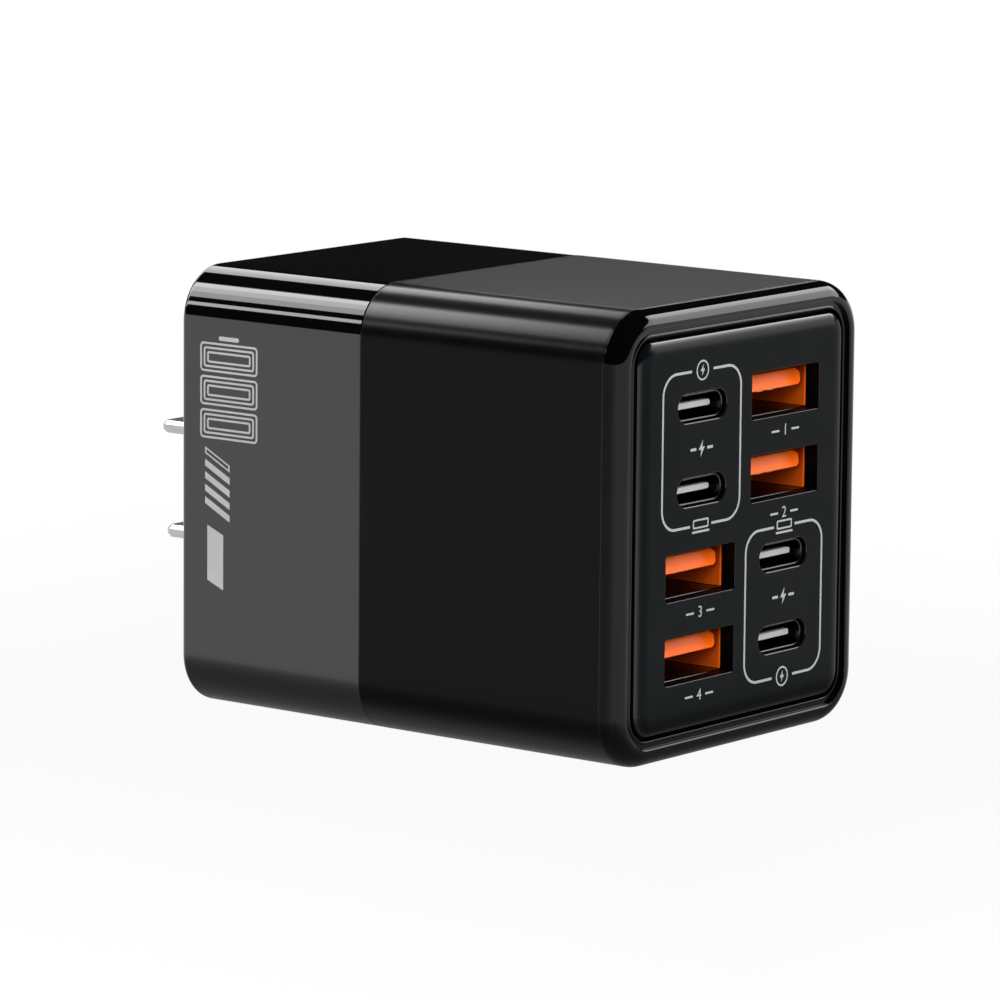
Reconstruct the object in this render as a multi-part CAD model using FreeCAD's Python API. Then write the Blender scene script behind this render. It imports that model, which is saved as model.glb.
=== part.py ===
"""Multi-port USB wall charger with two fixed plug blades.

Frame: the origin lies on the rear wall face, on the body's middle plane and level with the middle of the two
blades. The blades point along +Y, the ports face -Y, +X is to the right for someone looking at the ports, and
+Z is up. All sizes are millimetres.
"""
import FreeCAD
import Part
import math
import os

V = FreeCAD.Vector

# Largest share of its corner or wall that a rounding takes, and the slack for finding edges
ROUND_LIMIT = 0.9
TOLERANCE = 1e-6

# Body
BODY_WIDTH = 45.6
BODY_HEIGHT = 51.1
BODY_LENGTH = 63.3
BODY_CORNER = 6.2
BLADE_DROP = 2.95
BLADE_SIDE = 1.6
WALL = 1.8

# Rear housing
REAR_LENGTH = 26.7
REAR_WALL = 2.4
REAR_EDGE = 0.8
SEAM_BEVEL = 0.15
LAP_LENGTH = 3.0
LAP_THICKNESS = 0.9
LAP_CLEARANCE = 0.1
RIB_WIDTH = 1.6
RIB_HEIGHT = 3.0
RIB_SPACING = 28.0

# Front rim, from the outside in
RIM_DEPTH = 2.4
RIM_INSET = 1.8
LIP_FLAT = 0.2
LIP_ROUND = 0.2
STEP_DEPTH = 0.5
STEP_WIDTH = 0.9
STEP_ROUND = 0.25
SEAT_WIDTH = 1.3
SEAT_FLANGE = 1.4

# Port panel
PANEL_GAP = 0.45
PANEL_PROUD = 0.25
PANEL_THICKNESS = 1.9
PILLOW_WIDTH = 2.1
PILLOW_DROP = 0.65
MOUTH_BEVEL = 0.15

# Port layout, about the middle of the body
PORT_COLUMN = 7.85
PORT_ROW_INNER = 4.65
PORT_ROW_OUTER = 14.05

# USB-A receptacle
USB_A_WIDTH = 12.5
USB_A_HEIGHT = 5.12
USB_A_MOUTH_MARGIN = 0.2
USB_A_MOUTH_CORNER = 0.4
USB_A_DEPTH = 13.6
USB_A_SHELL = 0.3
USB_A_SHELL_CORNER = 0.5
USB_A_LINER = 0.3
USB_A_TONGUE_WIDTH = 11.1
USB_A_TONGUE_HEIGHT = 1.84
USB_A_TONGUE_DROP = 0.72
USB_A_TONGUE_SETBACK = 0.1
USB_A_TONGUE_CORNER = 0.55
USB_A_TONGUE_BEVEL = 0.6
USB_A_BLOCK_DEPTH = 4.2
USB_A_CONTACT_PLACES = (-3.5, -1.0, 1.0, 3.5)
USB_A_CONTACT_WIDTH = 1.0
USB_A_CONTACT_THICKNESS = 0.25
USB_A_CONTACT_SETBACK = 0.9

# USB-C receptacle
USB_C_WIDTH = 8.34
USB_C_HEIGHT = 2.56
USB_C_SHELL = 0.3
USB_C_SHELL_RECESS = 0.55
USB_C_MOUTH_CLEARANCE = 0.06
USB_C_TONGUE_WIDTH = 6.69
USB_C_TONGUE_HEIGHT = 0.7
USB_C_TONGUE_RECESS = 1.5
USB_C_TONGUE_ROUND = 0.3
USB_C_BLOCK_DEPTH = 7.0
USB_C_CONTACT_COUNT = 8
USB_C_CONTACT_PITCH = 0.75
USB_C_CONTACT_WIDTH = 0.35
USB_C_CONTACT_THICKNESS = 0.08
USB_C_CONTACT_SETBACK = 0.5

# Plug blades
BLADE_SPACING = 12.7
BLADE_LENGTH = 18.2
BLADE_THICKNESS = 1.5
NEUTRAL_WIDTH = 7.94
LINE_WIDTH = 6.35
BLADE_TIP_CORNER = 0.8
BLADE_TIP_BEVEL = 0.45
BLADE_HOLE = 3.2
BLADE_HOLE_FROM_WALL = 11.9
BLADE_CLEARANCE = 0.1
BLADE_FLANGE = 1.2
BLADE_FLANGE_DEPTH = 1.6
BLADE_TAIL_WIDTH = 2.8
BLADE_TAIL_LENGTH = 1.6
BLADE_TAIL_GAP = 0.8
CARRIER_WIDTH = 17.0
CARRIER_MARGIN = 4.0
CARRIER_DEPTH = 5.0
LEAD_THICKNESS = 0.5

# Boards
BOARD_THICKNESS = 1.6
PORT_BOARD_CLEARANCE = 0.3
MAIN_BOARD_CLEARANCE = 1.0
MAIN_BOARD_REAR_GAP = 5.6
PIN_COUNT = 10
PIN_PITCH = 1.27
PIN_SIZE = 0.64
PIN_LENGTH = 2.4
PIN_HEIGHT = 3.2

# Parts on the main board
PART_GAP = 0.4
SPREADER_THICKNESS = 1.0
SPREADER_HEIGHT = 31.0
SPREADER_FLANGE = 10.0
PAD_LENGTH = 12.0
PAD_HEIGHT = 20.0
BULK_DIAMETER = 9.0
BULK_HEIGHT = 26.0
BULK_EDGE = 0.8
BULK_COUNT = 2
X_CAP_SIZE = (15.0, 7.0, 14.0)
X_CAP_EDGE = 0.8
LEAD_CLEARANCE = 2.0
FUSE_SIZE = (8.5, 3.4, 8.0)
CHOKE_OUTER = 13.0
CHOKE_INNER = 6.0
CHOKE_HEIGHT = 5.0
CHOKE_WIRE = 0.8
CHOKE_WINDING_ANGLE = 130.0
BRIDGE_SIZE = (3.0, 11.0, 11.0)
Y_CAP_DIAMETER = 7.0
Y_CAP_THICKNESS = 2.6
Y_CAP_LEG = 0.6
Y_CAP_LEG_HEIGHT = 2.0
Y_CAP_LEG_PITCH = 3.5
OPTO_SIZE = (4.6, 6.5, 3.4)
CORE_WIDTH = 18.0
CORE_DEPTH = 8.0
CORE_HEIGHT = 20.0
CORE_YOKE = 2.8
CORE_LEG = 2.2
CORE_POST = 5.6
BOBBIN_WALL = 0.8
BOBBIN_CLEARANCE = 0.15
WINDING_DEPTH = 12.6
WINDING_CORNER = 2.0
CHIP_SIZE = (5.0, 6.0, 1.1)
CHIP_PITCH = 8.0

# Parts on the port board
CELL_COUNT = 4
CAN_DIAMETER = 7.0
CAN_LENGTH = 11.0
CAN_EDGE = 0.6
INDUCTOR_SIZE = 7.0
INDUCTOR_DEPTH = 4.0
INDUCTOR_CORNER = 0.8
CONTROLLER_SIZE = 3.0
CONTROLLER_THICKNESS = 0.9

# Places worked out from the sizes above
FRONT = -BODY_LENGTH
SEAM = -REAR_LENGTH
BODY_MIDDLE = BLADE_DROP
BLADE_MIDDLE = -BLADE_SIDE
STEP_INSET = RIM_INSET + LIP_FLAT + LIP_ROUND
OPENING_INSET = STEP_INSET + STEP_WIDTH
PANEL_INSET = OPENING_INSET + PANEL_GAP
PANEL_FACE = FRONT - PANEL_PROUD
PANEL_BACK = PANEL_FACE + PANEL_THICKNESS
PANEL_CORNER = BODY_CORNER - PANEL_INSET
PORT_BOARD_FRONT = PANEL_BACK + USB_A_DEPTH
PORT_BOARD_BACK = PORT_BOARD_FRONT + BOARD_THICKNESS
INNER_HALF_WIDTH = BODY_WIDTH / 2 - WALL
INNER_TOP = BODY_MIDDLE + BODY_HEIGHT / 2 - WALL
FLOOR = BODY_MIDDLE - BODY_HEIGHT / 2 + WALL
BOARD_UNDERSIDE = FLOOR + RIB_HEIGHT
BOARD_TOP = BOARD_UNDERSIDE + BOARD_THICKNESS
BOARD_HALF_WIDTH = INNER_HALF_WIDTH - MAIN_BOARD_CLEARANCE
BOARD_REAR = -REAR_WALL - MAIN_BOARD_REAR_GAP
CARRIER_BACK = -REAR_WALL - CARRIER_DEPTH
TAIL_END = CARRIER_BACK - BLADE_TAIL_LENGTH
LEFT_STRIP = -BOARD_HALF_WIDTH + SPREADER_THICKNESS + PART_GAP
RIGHT_STRIP = BOARD_HALF_WIDTH - PART_GAP
REAR_STRIP = TAIL_END - LEAD_THICKNESS - LEAD_CLEARANCE
TRANSFORMER_Y = PORT_BOARD_BACK + PART_GAP + WINDING_DEPTH / 2
TRANSFORMER_X = RIGHT_STRIP - CORE_WIDTH / 2
CHOKE_RADIUS = CHOKE_OUTER / 2 + CHOKE_WIRE
CHOKE_X = RIGHT_STRIP - CHOKE_RADIUS
FUSE_Y = BOARD_REAR - 2 * PART_GAP - FUSE_SIZE[1] / 2
CHOKE_Y = FUSE_Y - FUSE_SIZE[1] / 2 - PART_GAP - CHOKE_RADIUS
SPREADER_FRONT = PORT_BOARD_BACK + INDUCTOR_DEPTH + PART_GAP
X_CAP_FRONT = REAR_STRIP - X_CAP_SIZE[1]
BULK_X = LEFT_STRIP + BULK_DIAMETER / 2
BULK_Y = SPREADER_FRONT + BULK_DIAMETER / 2
BULK_PITCH = BULK_DIAMETER + PART_GAP
BULK_ROOM = X_CAP_FRONT - PART_GAP - SPREADER_FRONT - BULK_DIAMETER
BULK_STEP = min(BULK_PITCH, BULK_ROOM / (BULK_COUNT - 1))
BULK_SHIFT = math.sqrt(BULK_PITCH ** 2 - BULK_STEP ** 2)
BRIDGE_X = LEFT_STRIP + BULK_DIAMETER + BULK_SHIFT + PART_GAP + BRIDGE_SIZE[0] / 2
BRIDGE_Y = X_CAP_FRONT - PART_GAP - BRIDGE_SIZE[1] / 2
CAN_ROW = INNER_TOP - 2 * PART_GAP - CAN_DIAMETER / 2
INDUCTOR_ROW = CAN_ROW - CAN_DIAMETER / 2 - PART_GAP - INDUCTOR_SIZE / 2
CELL_PITCH = INDUCTOR_SIZE + 4 * PART_GAP

UPPER_ROWS = (BODY_MIDDLE + PORT_ROW_OUTER, BODY_MIDDLE + PORT_ROW_INNER)
LOWER_ROWS = (BODY_MIDDLE - PORT_ROW_INNER, BODY_MIDDLE - PORT_ROW_OUTER)
USB_A_PLACES = [(PORT_COLUMN, z) for z in UPPER_ROWS] + [(-PORT_COLUMN, z) for z in LOWER_ROWS]
USB_C_PLACES = [(-PORT_COLUMN, z) for z in UPPER_ROWS] + [(PORT_COLUMN, z) for z in LOWER_ROWS]


def rounded_outline(width, height, corner, y, x_mid=0.0, z_mid=0.0):
    """Closed rounded rectangle in the plane at depth y, starting at the left end of its top edge."""
    half_w, half_h = width / 2, height / 2
    bulge = corner * (1 - math.sqrt(0.5))

    def at(x, z):
        return V(x_mid + x, y, z_mid + z)

    edges = []
    for quarter in range(4):
        run, rise = (half_w, half_h) if quarter % 2 == 0 else (half_h, half_w)

        def turned(a, b, quarter=quarter):
            for _ in range(quarter):
                a, b = b, -a
            return at(a, b)

        if run > corner:
            edges.append(Part.LineSegment(turned(-run + corner, rise), turned(run - corner, rise)))
        edges.append(Part.Arc(turned(run - corner, rise), turned(run - bulge, rise - bulge),
                              turned(run, rise - corner)))
    return Part.Wire([edge.toShape() for edge in edges])


def body_outline(inset, y):
    """The body's rounded outline moved inwards by inset."""
    return rounded_outline(BODY_WIDTH - 2 * inset, BODY_HEIGHT - 2 * inset, BODY_CORNER - inset, y,
                           z_mid=BODY_MIDDLE)


def prism(outline, depth):
    """Solid from a closed outline, pushed along +Y by depth."""
    return Part.Face(outline).extrude(V(0, depth, 0))


def slab(width, height, corner, y_front, y_back, x_mid, z_mid):
    """Rounded bar along Y between two depths."""
    return prism(rounded_outline(width, height, corner, y_front, x_mid, z_mid), y_back - y_front)


def box(x_low, x_high, y_low, y_high, z_low, z_high):
    """Plain block between two corners."""
    return Part.makeBox(x_high - x_low, y_high - y_low, z_high - z_low, V(x_low, y_low, z_low))


def standing_block(size, x_mid, y_mid, z_low):
    """Block of a given size that stands on a surface."""
    return Part.makeBox(*size, V(x_mid - size[0] / 2, y_mid - size[1] / 2, z_low))


def quarter_ellipse(centre, start, end):
    """Quarter ellipse from start to end, both on its axes."""
    to_start, to_end = start - centre, end - centre
    if abs(to_start.Length - to_end.Length) < TOLERANCE:
        middle = centre + (to_start + to_end) * math.sqrt(0.5)
        return Part.Arc(start, middle, end).toShape()
    major, minor = (start, end) if to_start.Length > to_end.Length else (end, start)
    ellipse = Part.Ellipse(major, minor, centre)
    return Part.ArcOfEllipse(ellipse, 0, math.pi / 2).toShape()


def swept_ring(edges, path):
    """Solid ring from a closed profile carried round an outline."""
    profile = Part.Wire(Part.__sortEdges__(edges))
    return path.makePipeShell([profile], True, True)


def make_front_housing():
    """Sleeve with the rounded rim, lip, step and panel seat in one wall profile, and the board ribs."""
    path = body_outline(0, FRONT)
    start = path.Vertexes[0].Point

    def at(inset, y):
        return V(start.x, y, start.z - inset)

    lap_inset = WALL - LAP_THICKNESS - LAP_CLEARANCE
    lap_end = SEAM - LAP_LENGTH - LAP_CLEARANCE
    seat = PANEL_BACK
    flange_back = seat + SEAT_FLANGE
    rim_back = FRONT + RIM_DEPTH
    lip_edge, lip_back = RIM_INSET + LIP_FLAT, FRONT + LIP_ROUND
    step = FRONT + STEP_DEPTH
    step_edge, step_back = OPENING_INSET - STEP_ROUND, step + STEP_ROUND
    edges = [
        quarter_ellipse(at(RIM_INSET, rim_back), at(RIM_INSET, FRONT), at(0, rim_back)),
        quarter_ellipse(at(lip_edge, lip_back), at(lip_edge, FRONT), at(STEP_INSET, lip_back)),
        quarter_ellipse(at(step_edge, step_back), at(step_edge, step), at(OPENING_INSET, step_back)),
    ]
    corners = [
        [at(RIM_INSET, FRONT), at(lip_edge, FRONT)],
        [at(STEP_INSET, lip_back), at(STEP_INSET, step), at(step_edge, step)],
        [at(OPENING_INSET, step_back), at(OPENING_INSET, seat),
         at(OPENING_INSET + SEAT_WIDTH, seat), at(OPENING_INSET + SEAT_WIDTH, flange_back),
         at(WALL, flange_back), at(WALL, lap_end), at(lap_inset, lap_end), at(lap_inset, SEAM),
         at(SEAM_BEVEL, SEAM), at(0, SEAM - SEAM_BEVEL), at(0, rim_back)],
    ]
    for run in corners:
        edges += Part.makePolygon(run).Edges
    sleeve = swept_ring(edges, path)
    return sleeve.fuse(floor_ribs(PORT_BOARD_BACK, lap_end)).removeSplitter()


def floor_ribs(y_low, y_high):
    """Two ribs on the floor that carry the main board."""
    ribs = []
    for side in (-1, 1):
        x_mid = side * RIB_SPACING / 2
        ribs.append(box(x_mid - RIB_WIDTH / 2, x_mid + RIB_WIDTH / 2, y_low, y_high,
                        FLOOR - WALL / 2, BOARD_UNDERSIDE))
    return ribs


def make_rear_housing():
    """Cap with the wall face, blade slots, lap tongue and board ribs."""
    cap = prism(body_outline(0, SEAM), REAR_LENGTH)
    rear_edges = [e for e in cap.Edges if e.BoundBox.YMin > -TOLERANCE]
    cap = cap.makeFillet(REAR_EDGE, rear_edges)
    seam_edges = [e for e in cap.Edges if e.BoundBox.YMax < SEAM + TOLERANCE]
    cap = cap.makeChamfer(SEAM_BEVEL, seam_edges)
    cap = cap.fuse(prism(body_outline(WALL - LAP_THICKNESS, SEAM - LAP_LENGTH), LAP_LENGTH + WALL))
    cavity = prism(body_outline(WALL, SEAM - LAP_LENGTH), LAP_LENGTH + REAR_LENGTH - REAR_WALL)
    slots = []
    for width, z in ((NEUTRAL_WIDTH, BLADE_SPACING / 2), (LINE_WIDTH, -BLADE_SPACING / 2)):
        half_w = width / 2 + BLADE_CLEARANCE
        half_t = BLADE_THICKNESS / 2 + BLADE_CLEARANCE
        slots.append(box(BLADE_MIDDLE - half_w, BLADE_MIDDLE + half_w, -2 * REAR_WALL, REAR_WALL,
                         z - half_t, z + half_t))
    shell = cap.cut(cavity).cut(slots)
    ribs = floor_ribs(SEAM - LAP_LENGTH, -REAR_WALL)
    return shell.fuse(ribs).removeSplitter()


def mouth_cutter(width, height, corner, x_mid, z_mid):
    """Tool for one aperture, with a bevelled mouth."""
    through = slab(width, height, corner, PANEL_FACE, PANEL_BACK, x_mid, z_mid)
    wide = rounded_outline(width + 2 * MOUTH_BEVEL, height + 2 * MOUTH_BEVEL, corner + MOUTH_BEVEL,
                           PANEL_FACE, x_mid, z_mid)
    narrow = rounded_outline(width, height, corner, PANEL_FACE + MOUTH_BEVEL, x_mid, z_mid)
    return through.fuse(Part.makeLoft([wide, narrow], True, True))


def make_front_panel():
    """Pillowed panel with four wide and four narrow apertures."""
    pillow = min(PILLOW_WIDTH, ROUND_LIMIT * PANEL_CORNER)
    path = body_outline(PANEL_INSET, PANEL_BACK)
    start = path.Vertexes[0].Point

    def at(inset, y):
        return V(start.x, y, start.z - inset)

    shoulder = PANEL_FACE + PILLOW_DROP
    edges = [quarter_ellipse(at(pillow, shoulder), at(pillow, PANEL_FACE), at(0, shoulder))]
    edges += Part.makePolygon([at(0, shoulder), at(0, PANEL_BACK), at(pillow, PANEL_BACK),
                               at(pillow, PANEL_FACE)]).Edges
    core = prism(body_outline(PANEL_INSET + pillow, PANEL_FACE), PANEL_THICKNESS)
    panel = core.fuse(swept_ring(edges, path)).removeSplitter()
    cutters = []
    for x, z in USB_A_PLACES:
        cutters.append(mouth_cutter(USB_A_WIDTH + 2 * USB_A_MOUTH_MARGIN, USB_A_HEIGHT + USB_A_MOUTH_MARGIN,
                                    USB_A_MOUTH_CORNER, x, z))
    width, height = usb_c_outside()
    for x, z in USB_C_PLACES:
        cutters.append(mouth_cutter(width + 2 * USB_C_MOUTH_CLEARANCE, height + 2 * USB_C_MOUTH_CLEARANCE,
                                    height / 2 + USB_C_MOUTH_CLEARANCE, x, z))
    return panel.cut(cutters)


def usb_c_outside():
    """Outer width and height of a USB-C shell."""
    return USB_C_WIDTH + 2 * USB_C_SHELL, USB_C_HEIGHT + 2 * USB_C_SHELL


def make_usb_a(x, z):
    """Shell, insulator and contacts of one USB-A receptacle at a place on the panel."""
    inner_w = USB_A_WIDTH + 2 * USB_A_LINER
    inner_corner = USB_A_SHELL_CORNER - USB_A_SHELL
    shell = slab(inner_w + 2 * USB_A_SHELL, USB_A_HEIGHT + 2 * USB_A_SHELL, USB_A_SHELL_CORNER,
                 PANEL_BACK, PORT_BOARD_FRONT, x, z)
    inside = slab(inner_w, USB_A_HEIGHT, inner_corner, PANEL_BACK, PORT_BOARD_FRONT, x, z)
    shell = shell.cut(inside)

    block_front = PORT_BOARD_FRONT - USB_A_BLOCK_DEPTH
    opening = box(x - USB_A_WIDTH / 2, x + USB_A_WIDTH / 2, PANEL_BACK, block_front,
                  z - USB_A_HEIGHT / 2, z + USB_A_HEIGHT / 2)
    tongue_top = z + USB_A_HEIGHT / 2 - USB_A_TONGUE_DROP
    tongue_front = PANEL_BACK + USB_A_TONGUE_SETBACK
    tongue_middle = tongue_top - USB_A_TONGUE_HEIGHT / 2
    tongue = slab(USB_A_TONGUE_WIDTH, USB_A_TONGUE_HEIGHT, USB_A_TONGUE_CORNER, tongue_front, block_front,
                  x, tongue_middle)
    nose = V(x - USB_A_WIDTH / 2, tongue_front, tongue_top)
    bevel = [nose, nose + V(0, USB_A_TONGUE_BEVEL, 0), nose - V(0, 0, USB_A_TONGUE_BEVEL), nose]
    tongue = tongue.cut(Part.Face(Part.makePolygon(bevel)).extrude(V(USB_A_WIDTH, 0, 0)))

    contact_top = tongue_top - USB_A_TONGUE_HEIGHT
    contacts = []
    for place in USB_A_CONTACT_PLACES:
        contacts.append(box(x + place - USB_A_CONTACT_WIDTH / 2, x + place + USB_A_CONTACT_WIDTH / 2,
                            tongue_front + USB_A_CONTACT_SETBACK, PORT_BOARD_FRONT,
                            contact_top - USB_A_CONTACT_THICKNESS, contact_top))
    insulator = inside.cut(opening).fuse(tongue).removeSplitter().cut(contacts)
    return shell, insulator, Part.makeCompound(contacts)


def make_usb_c(x, z):
    """Shell, insulator and contacts of one USB-C receptacle at a place on the panel."""
    width, height = usb_c_outside()
    shell_front = PANEL_FACE + USB_C_SHELL_RECESS
    shell = slab(width, height, height / 2, shell_front, PORT_BOARD_FRONT, x, z)
    inside = slab(USB_C_WIDTH, USB_C_HEIGHT, USB_C_HEIGHT / 2, shell_front, PORT_BOARD_FRONT, x, z)
    shell = shell.cut(inside)

    block_front = PORT_BOARD_FRONT - USB_C_BLOCK_DEPTH
    block = slab(USB_C_WIDTH, USB_C_HEIGHT, USB_C_HEIGHT / 2, block_front, PORT_BOARD_FRONT, x, z)
    tongue_front = PANEL_FACE + USB_C_TONGUE_RECESS
    tongue_round = min(USB_C_TONGUE_ROUND, ROUND_LIMIT * USB_C_TONGUE_HEIGHT / 2)
    tongue = slab(USB_C_TONGUE_WIDTH, USB_C_TONGUE_HEIGHT, tongue_round, tongue_front, block_front, x, z)
    contacts = []
    reach = (USB_C_CONTACT_COUNT - 1) / 2
    for place in range(USB_C_CONTACT_COUNT):
        x_mid = x + (place - reach) * USB_C_CONTACT_PITCH
        for side in (-1, 1):
            z_mid = z + side * (USB_C_TONGUE_HEIGHT + USB_C_CONTACT_THICKNESS) / 2
            contacts.append(box(x_mid - USB_C_CONTACT_WIDTH / 2, x_mid + USB_C_CONTACT_WIDTH / 2,
                                tongue_front + USB_C_CONTACT_SETBACK, block_front,
                                z_mid - USB_C_CONTACT_THICKNESS / 2, z_mid + USB_C_CONTACT_THICKNESS / 2))
    return shell, block.fuse(tongue).removeSplitter(), Part.makeCompound(contacts)


def make_blade(width, z_mid, tail_side):
    """One blade with its tip, hole, holding flange and soldering tail."""
    low, high = z_mid - BLADE_THICKNESS / 2, z_mid + BLADE_THICKNESS / 2
    flange_back = -REAR_WALL - BLADE_FLANGE_DEPTH
    left, right = BLADE_MIDDLE - width / 2, BLADE_MIDDLE + width / 2
    blade = box(left, right, flange_back, BLADE_LENGTH, low, high)
    at_tip = BLADE_LENGTH - TOLERANCE
    tip_corners = [e for e in blade.Edges if e.BoundBox.YMin > at_tip and e.BoundBox.XLength < TOLERANCE]
    blade = blade.makeFillet(BLADE_TIP_CORNER, tip_corners)
    tip_edges = [e for e in blade.Edges if e.BoundBox.YMin > at_tip and e.BoundBox.XLength > BLADE_TIP_CORNER]
    blade = blade.makeChamfer(BLADE_TIP_BEVEL, tip_edges)
    hole = Part.makeCylinder(BLADE_HOLE / 2, 2 * BLADE_THICKNESS,
                             V(BLADE_MIDDLE, BLADE_HOLE_FROM_WALL, z_mid - BLADE_THICKNESS), V(0, 0, 1))
    flange = box(left - BLADE_FLANGE, right + BLADE_FLANGE, flange_back, -REAR_WALL, low, high)
    x_low, x_high = tail_span(tail_side)
    tail = box(x_low, x_high, TAIL_END, flange_back, low, high)
    return blade.cut(hole).fuse([flange, tail]).removeSplitter()


def tail_span(side):
    """Left and right edge of the soldering tail on one side of the blades' middle."""
    middle = BLADE_MIDDLE + side * (BLADE_TAIL_GAP + BLADE_TAIL_WIDTH) / 2
    return middle - BLADE_TAIL_WIDTH / 2, middle + BLADE_TAIL_WIDTH / 2


def make_lead(z_top, tail_side):
    """Strip from a blade's tail down to the main board."""
    x_low, x_high = tail_span(tail_side)
    return box(x_low, x_high, TAIL_END - LEAD_THICKNESS, TAIL_END, BOARD_TOP, z_top)


def make_carrier(blades):
    """Block moulded round the inner ends of the blades, against the rear wall."""
    half_h = BLADE_SPACING / 2 + BLADE_THICKNESS / 2 + CARRIER_MARGIN
    block = slab(CARRIER_WIDTH, 2 * half_h, CARRIER_MARGIN / 2, CARRIER_BACK, -REAR_WALL,
                 BLADE_MIDDLE, 0)
    return block.cut(blades)


def make_main_board():
    """Board that lies on the floor ribs, from the port board to the blade leads."""
    return box(-BOARD_HALF_WIDTH, BOARD_HALF_WIDTH, PORT_BOARD_BACK, BOARD_REAR, BOARD_UNDERSIDE, BOARD_TOP)


def make_port_board():
    """Board behind the receptacles, with the body's outline."""
    return prism(body_outline(WALL + PORT_BOARD_CLEARANCE, PORT_BOARD_FRONT), BOARD_THICKNESS)


def make_board_pins():
    """Row of bent pins from the main board to the port board."""
    pins = []
    y_low = PORT_BOARD_BACK
    for place in range(PIN_COUNT):
        x_low = LEFT_STRIP + place * PIN_PITCH
        x_high = x_low + PIN_SIZE
        foot = box(x_low, x_high, y_low, y_low + PIN_LENGTH, BOARD_TOP, BOARD_TOP + PIN_SIZE)
        riser = box(x_low, x_high, y_low, y_low + PIN_SIZE, BOARD_TOP, BOARD_TOP + PIN_HEIGHT)
        pins.append(foot.fuse(riser).removeSplitter())
    return Part.makeCompound(pins)


def make_can(diameter, length, edge, foot, direction):
    """Capacitor can with a rounded top edge, standing on foot along a direction."""
    can = Part.makeCylinder(diameter / 2, length, foot, direction)
    top = foot + direction * length
    rim = [e for e in can.Edges if (e.CenterOfMass - top).Length < TOLERANCE]
    return can.makeFillet(edge, rim)


def make_transformer():
    """Core with two windows, bobbin round its post, and winding between the bobbin's flanges."""
    x, y = TRANSFORMER_X, TRANSFORMER_Y
    low, high = BOARD_TOP + CORE_YOKE, BOARD_TOP + CORE_HEIGHT - CORE_YOKE
    core = standing_block((CORE_WIDTH, CORE_DEPTH, CORE_HEIGHT), x, y, BOARD_TOP)
    for side in (-1, 1):
        near, far = x + side * CORE_POST / 2, x + side * (CORE_WIDTH / 2 - CORE_LEG)
        core = core.cut(box(min(near, far), max(near, far), y - CORE_DEPTH, y + CORE_DEPTH, low, high))

    def ring_block(width, depth, corner, z_low, z_high):
        outline = rounded_outline(width, depth, corner, 0)
        outline.rotate(V(0, 0, 0), V(1, 0, 0), -90)
        outline.translate(V(x, y, z_low))
        return Part.Face(outline).extrude(V(0, 0, z_high - z_low))

    post_w, post_d = CORE_POST + 2 * BOBBIN_CLEARANCE, CORE_DEPTH + 2 * BOBBIN_CLEARANCE
    tube_w, tube_d = post_w + 2 * BOBBIN_WALL, post_d + 2 * BOBBIN_WALL
    flange_w = CORE_WIDTH - 2 * CORE_LEG - 2 * BOBBIN_CLEARANCE
    post_hole = standing_block((post_w, post_d, high - low), x, y, low)
    tube = standing_block((tube_w, tube_d, high - low), x, y, low)
    flanges = [ring_block(flange_w, WINDING_DEPTH, WINDING_CORNER, low, low + BOBBIN_WALL),
               ring_block(flange_w, WINDING_DEPTH, WINDING_CORNER, high - BOBBIN_WALL, high)]
    bobbin = tube.fuse(flanges).cut(post_hole).removeSplitter()
    winding = ring_block(flange_w - 2 * BOBBIN_CLEARANCE, WINDING_DEPTH - 2 * BOBBIN_CLEARANCE,
                         WINDING_CORNER - BOBBIN_CLEARANCE, low + BOBBIN_WALL, high - BOBBIN_WALL).cut(tube)
    return core, bobbin, winding


def make_choke():
    """Ring core and the two windings round it, lying on the board."""
    centre = V(CHOKE_X, CHOKE_Y, BOARD_TOP)
    core_low = centre + V(0, 0, CHOKE_WIRE)
    core = Part.makeCylinder(CHOKE_OUTER / 2, CHOKE_HEIGHT, core_low).cut(
        Part.makeCylinder(CHOKE_INNER / 2, CHOKE_HEIGHT, core_low))
    windings = []
    for start in (0.0, 180.0):
        height = CHOKE_HEIGHT + 2 * CHOKE_WIRE
        outer = Part.makeCylinder(CHOKE_RADIUS, height, centre, V(0, 0, 1), CHOKE_WINDING_ANGLE)
        winding = outer.cut(Part.makeCylinder(CHOKE_INNER / 2 - CHOKE_WIRE, height, centre))
        winding.rotate(centre, V(0, 0, 1), start - CHOKE_WINDING_ANGLE / 2)
        windings.append(winding.cut(core))
    return core, Part.makeCompound(windings)


def make_y_capacitor():
    """Coated disc on two legs, standing across the board."""
    x = BRIDGE_X + BRIDGE_SIZE[0] / 2 + PART_GAP + Y_CAP_THICKNESS / 2
    y = BRIDGE_Y
    middle = BOARD_TOP + Y_CAP_LEG_HEIGHT + Y_CAP_DIAMETER / 2
    disc = Part.makeCylinder(Y_CAP_DIAMETER / 2, Y_CAP_THICKNESS, V(x - Y_CAP_THICKNESS / 2, y, middle),
                             V(1, 0, 0))
    leg = (Y_CAP_LEG, Y_CAP_LEG, middle - BOARD_TOP)
    legs = [standing_block(leg, x, y + side * Y_CAP_LEG_PITCH / 2, BOARD_TOP) for side in (-1, 1)]
    return disc.fuse(legs).removeSplitter()


def make_heat_spreader():
    """Bent sheet beside the parts, standing on the board's left edge."""
    y_low, y_high = SPREADER_FRONT, REAR_STRIP
    top = BOARD_TOP + SPREADER_HEIGHT
    left = -BOARD_HALF_WIDTH
    web = box(left, left + SPREADER_THICKNESS, y_low, y_high, BOARD_TOP, top)
    flange = box(left, left + SPREADER_FLANGE, y_low, y_high, top - SPREADER_THICKNESS, top)
    return web.fuse(flange).removeSplitter()


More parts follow.
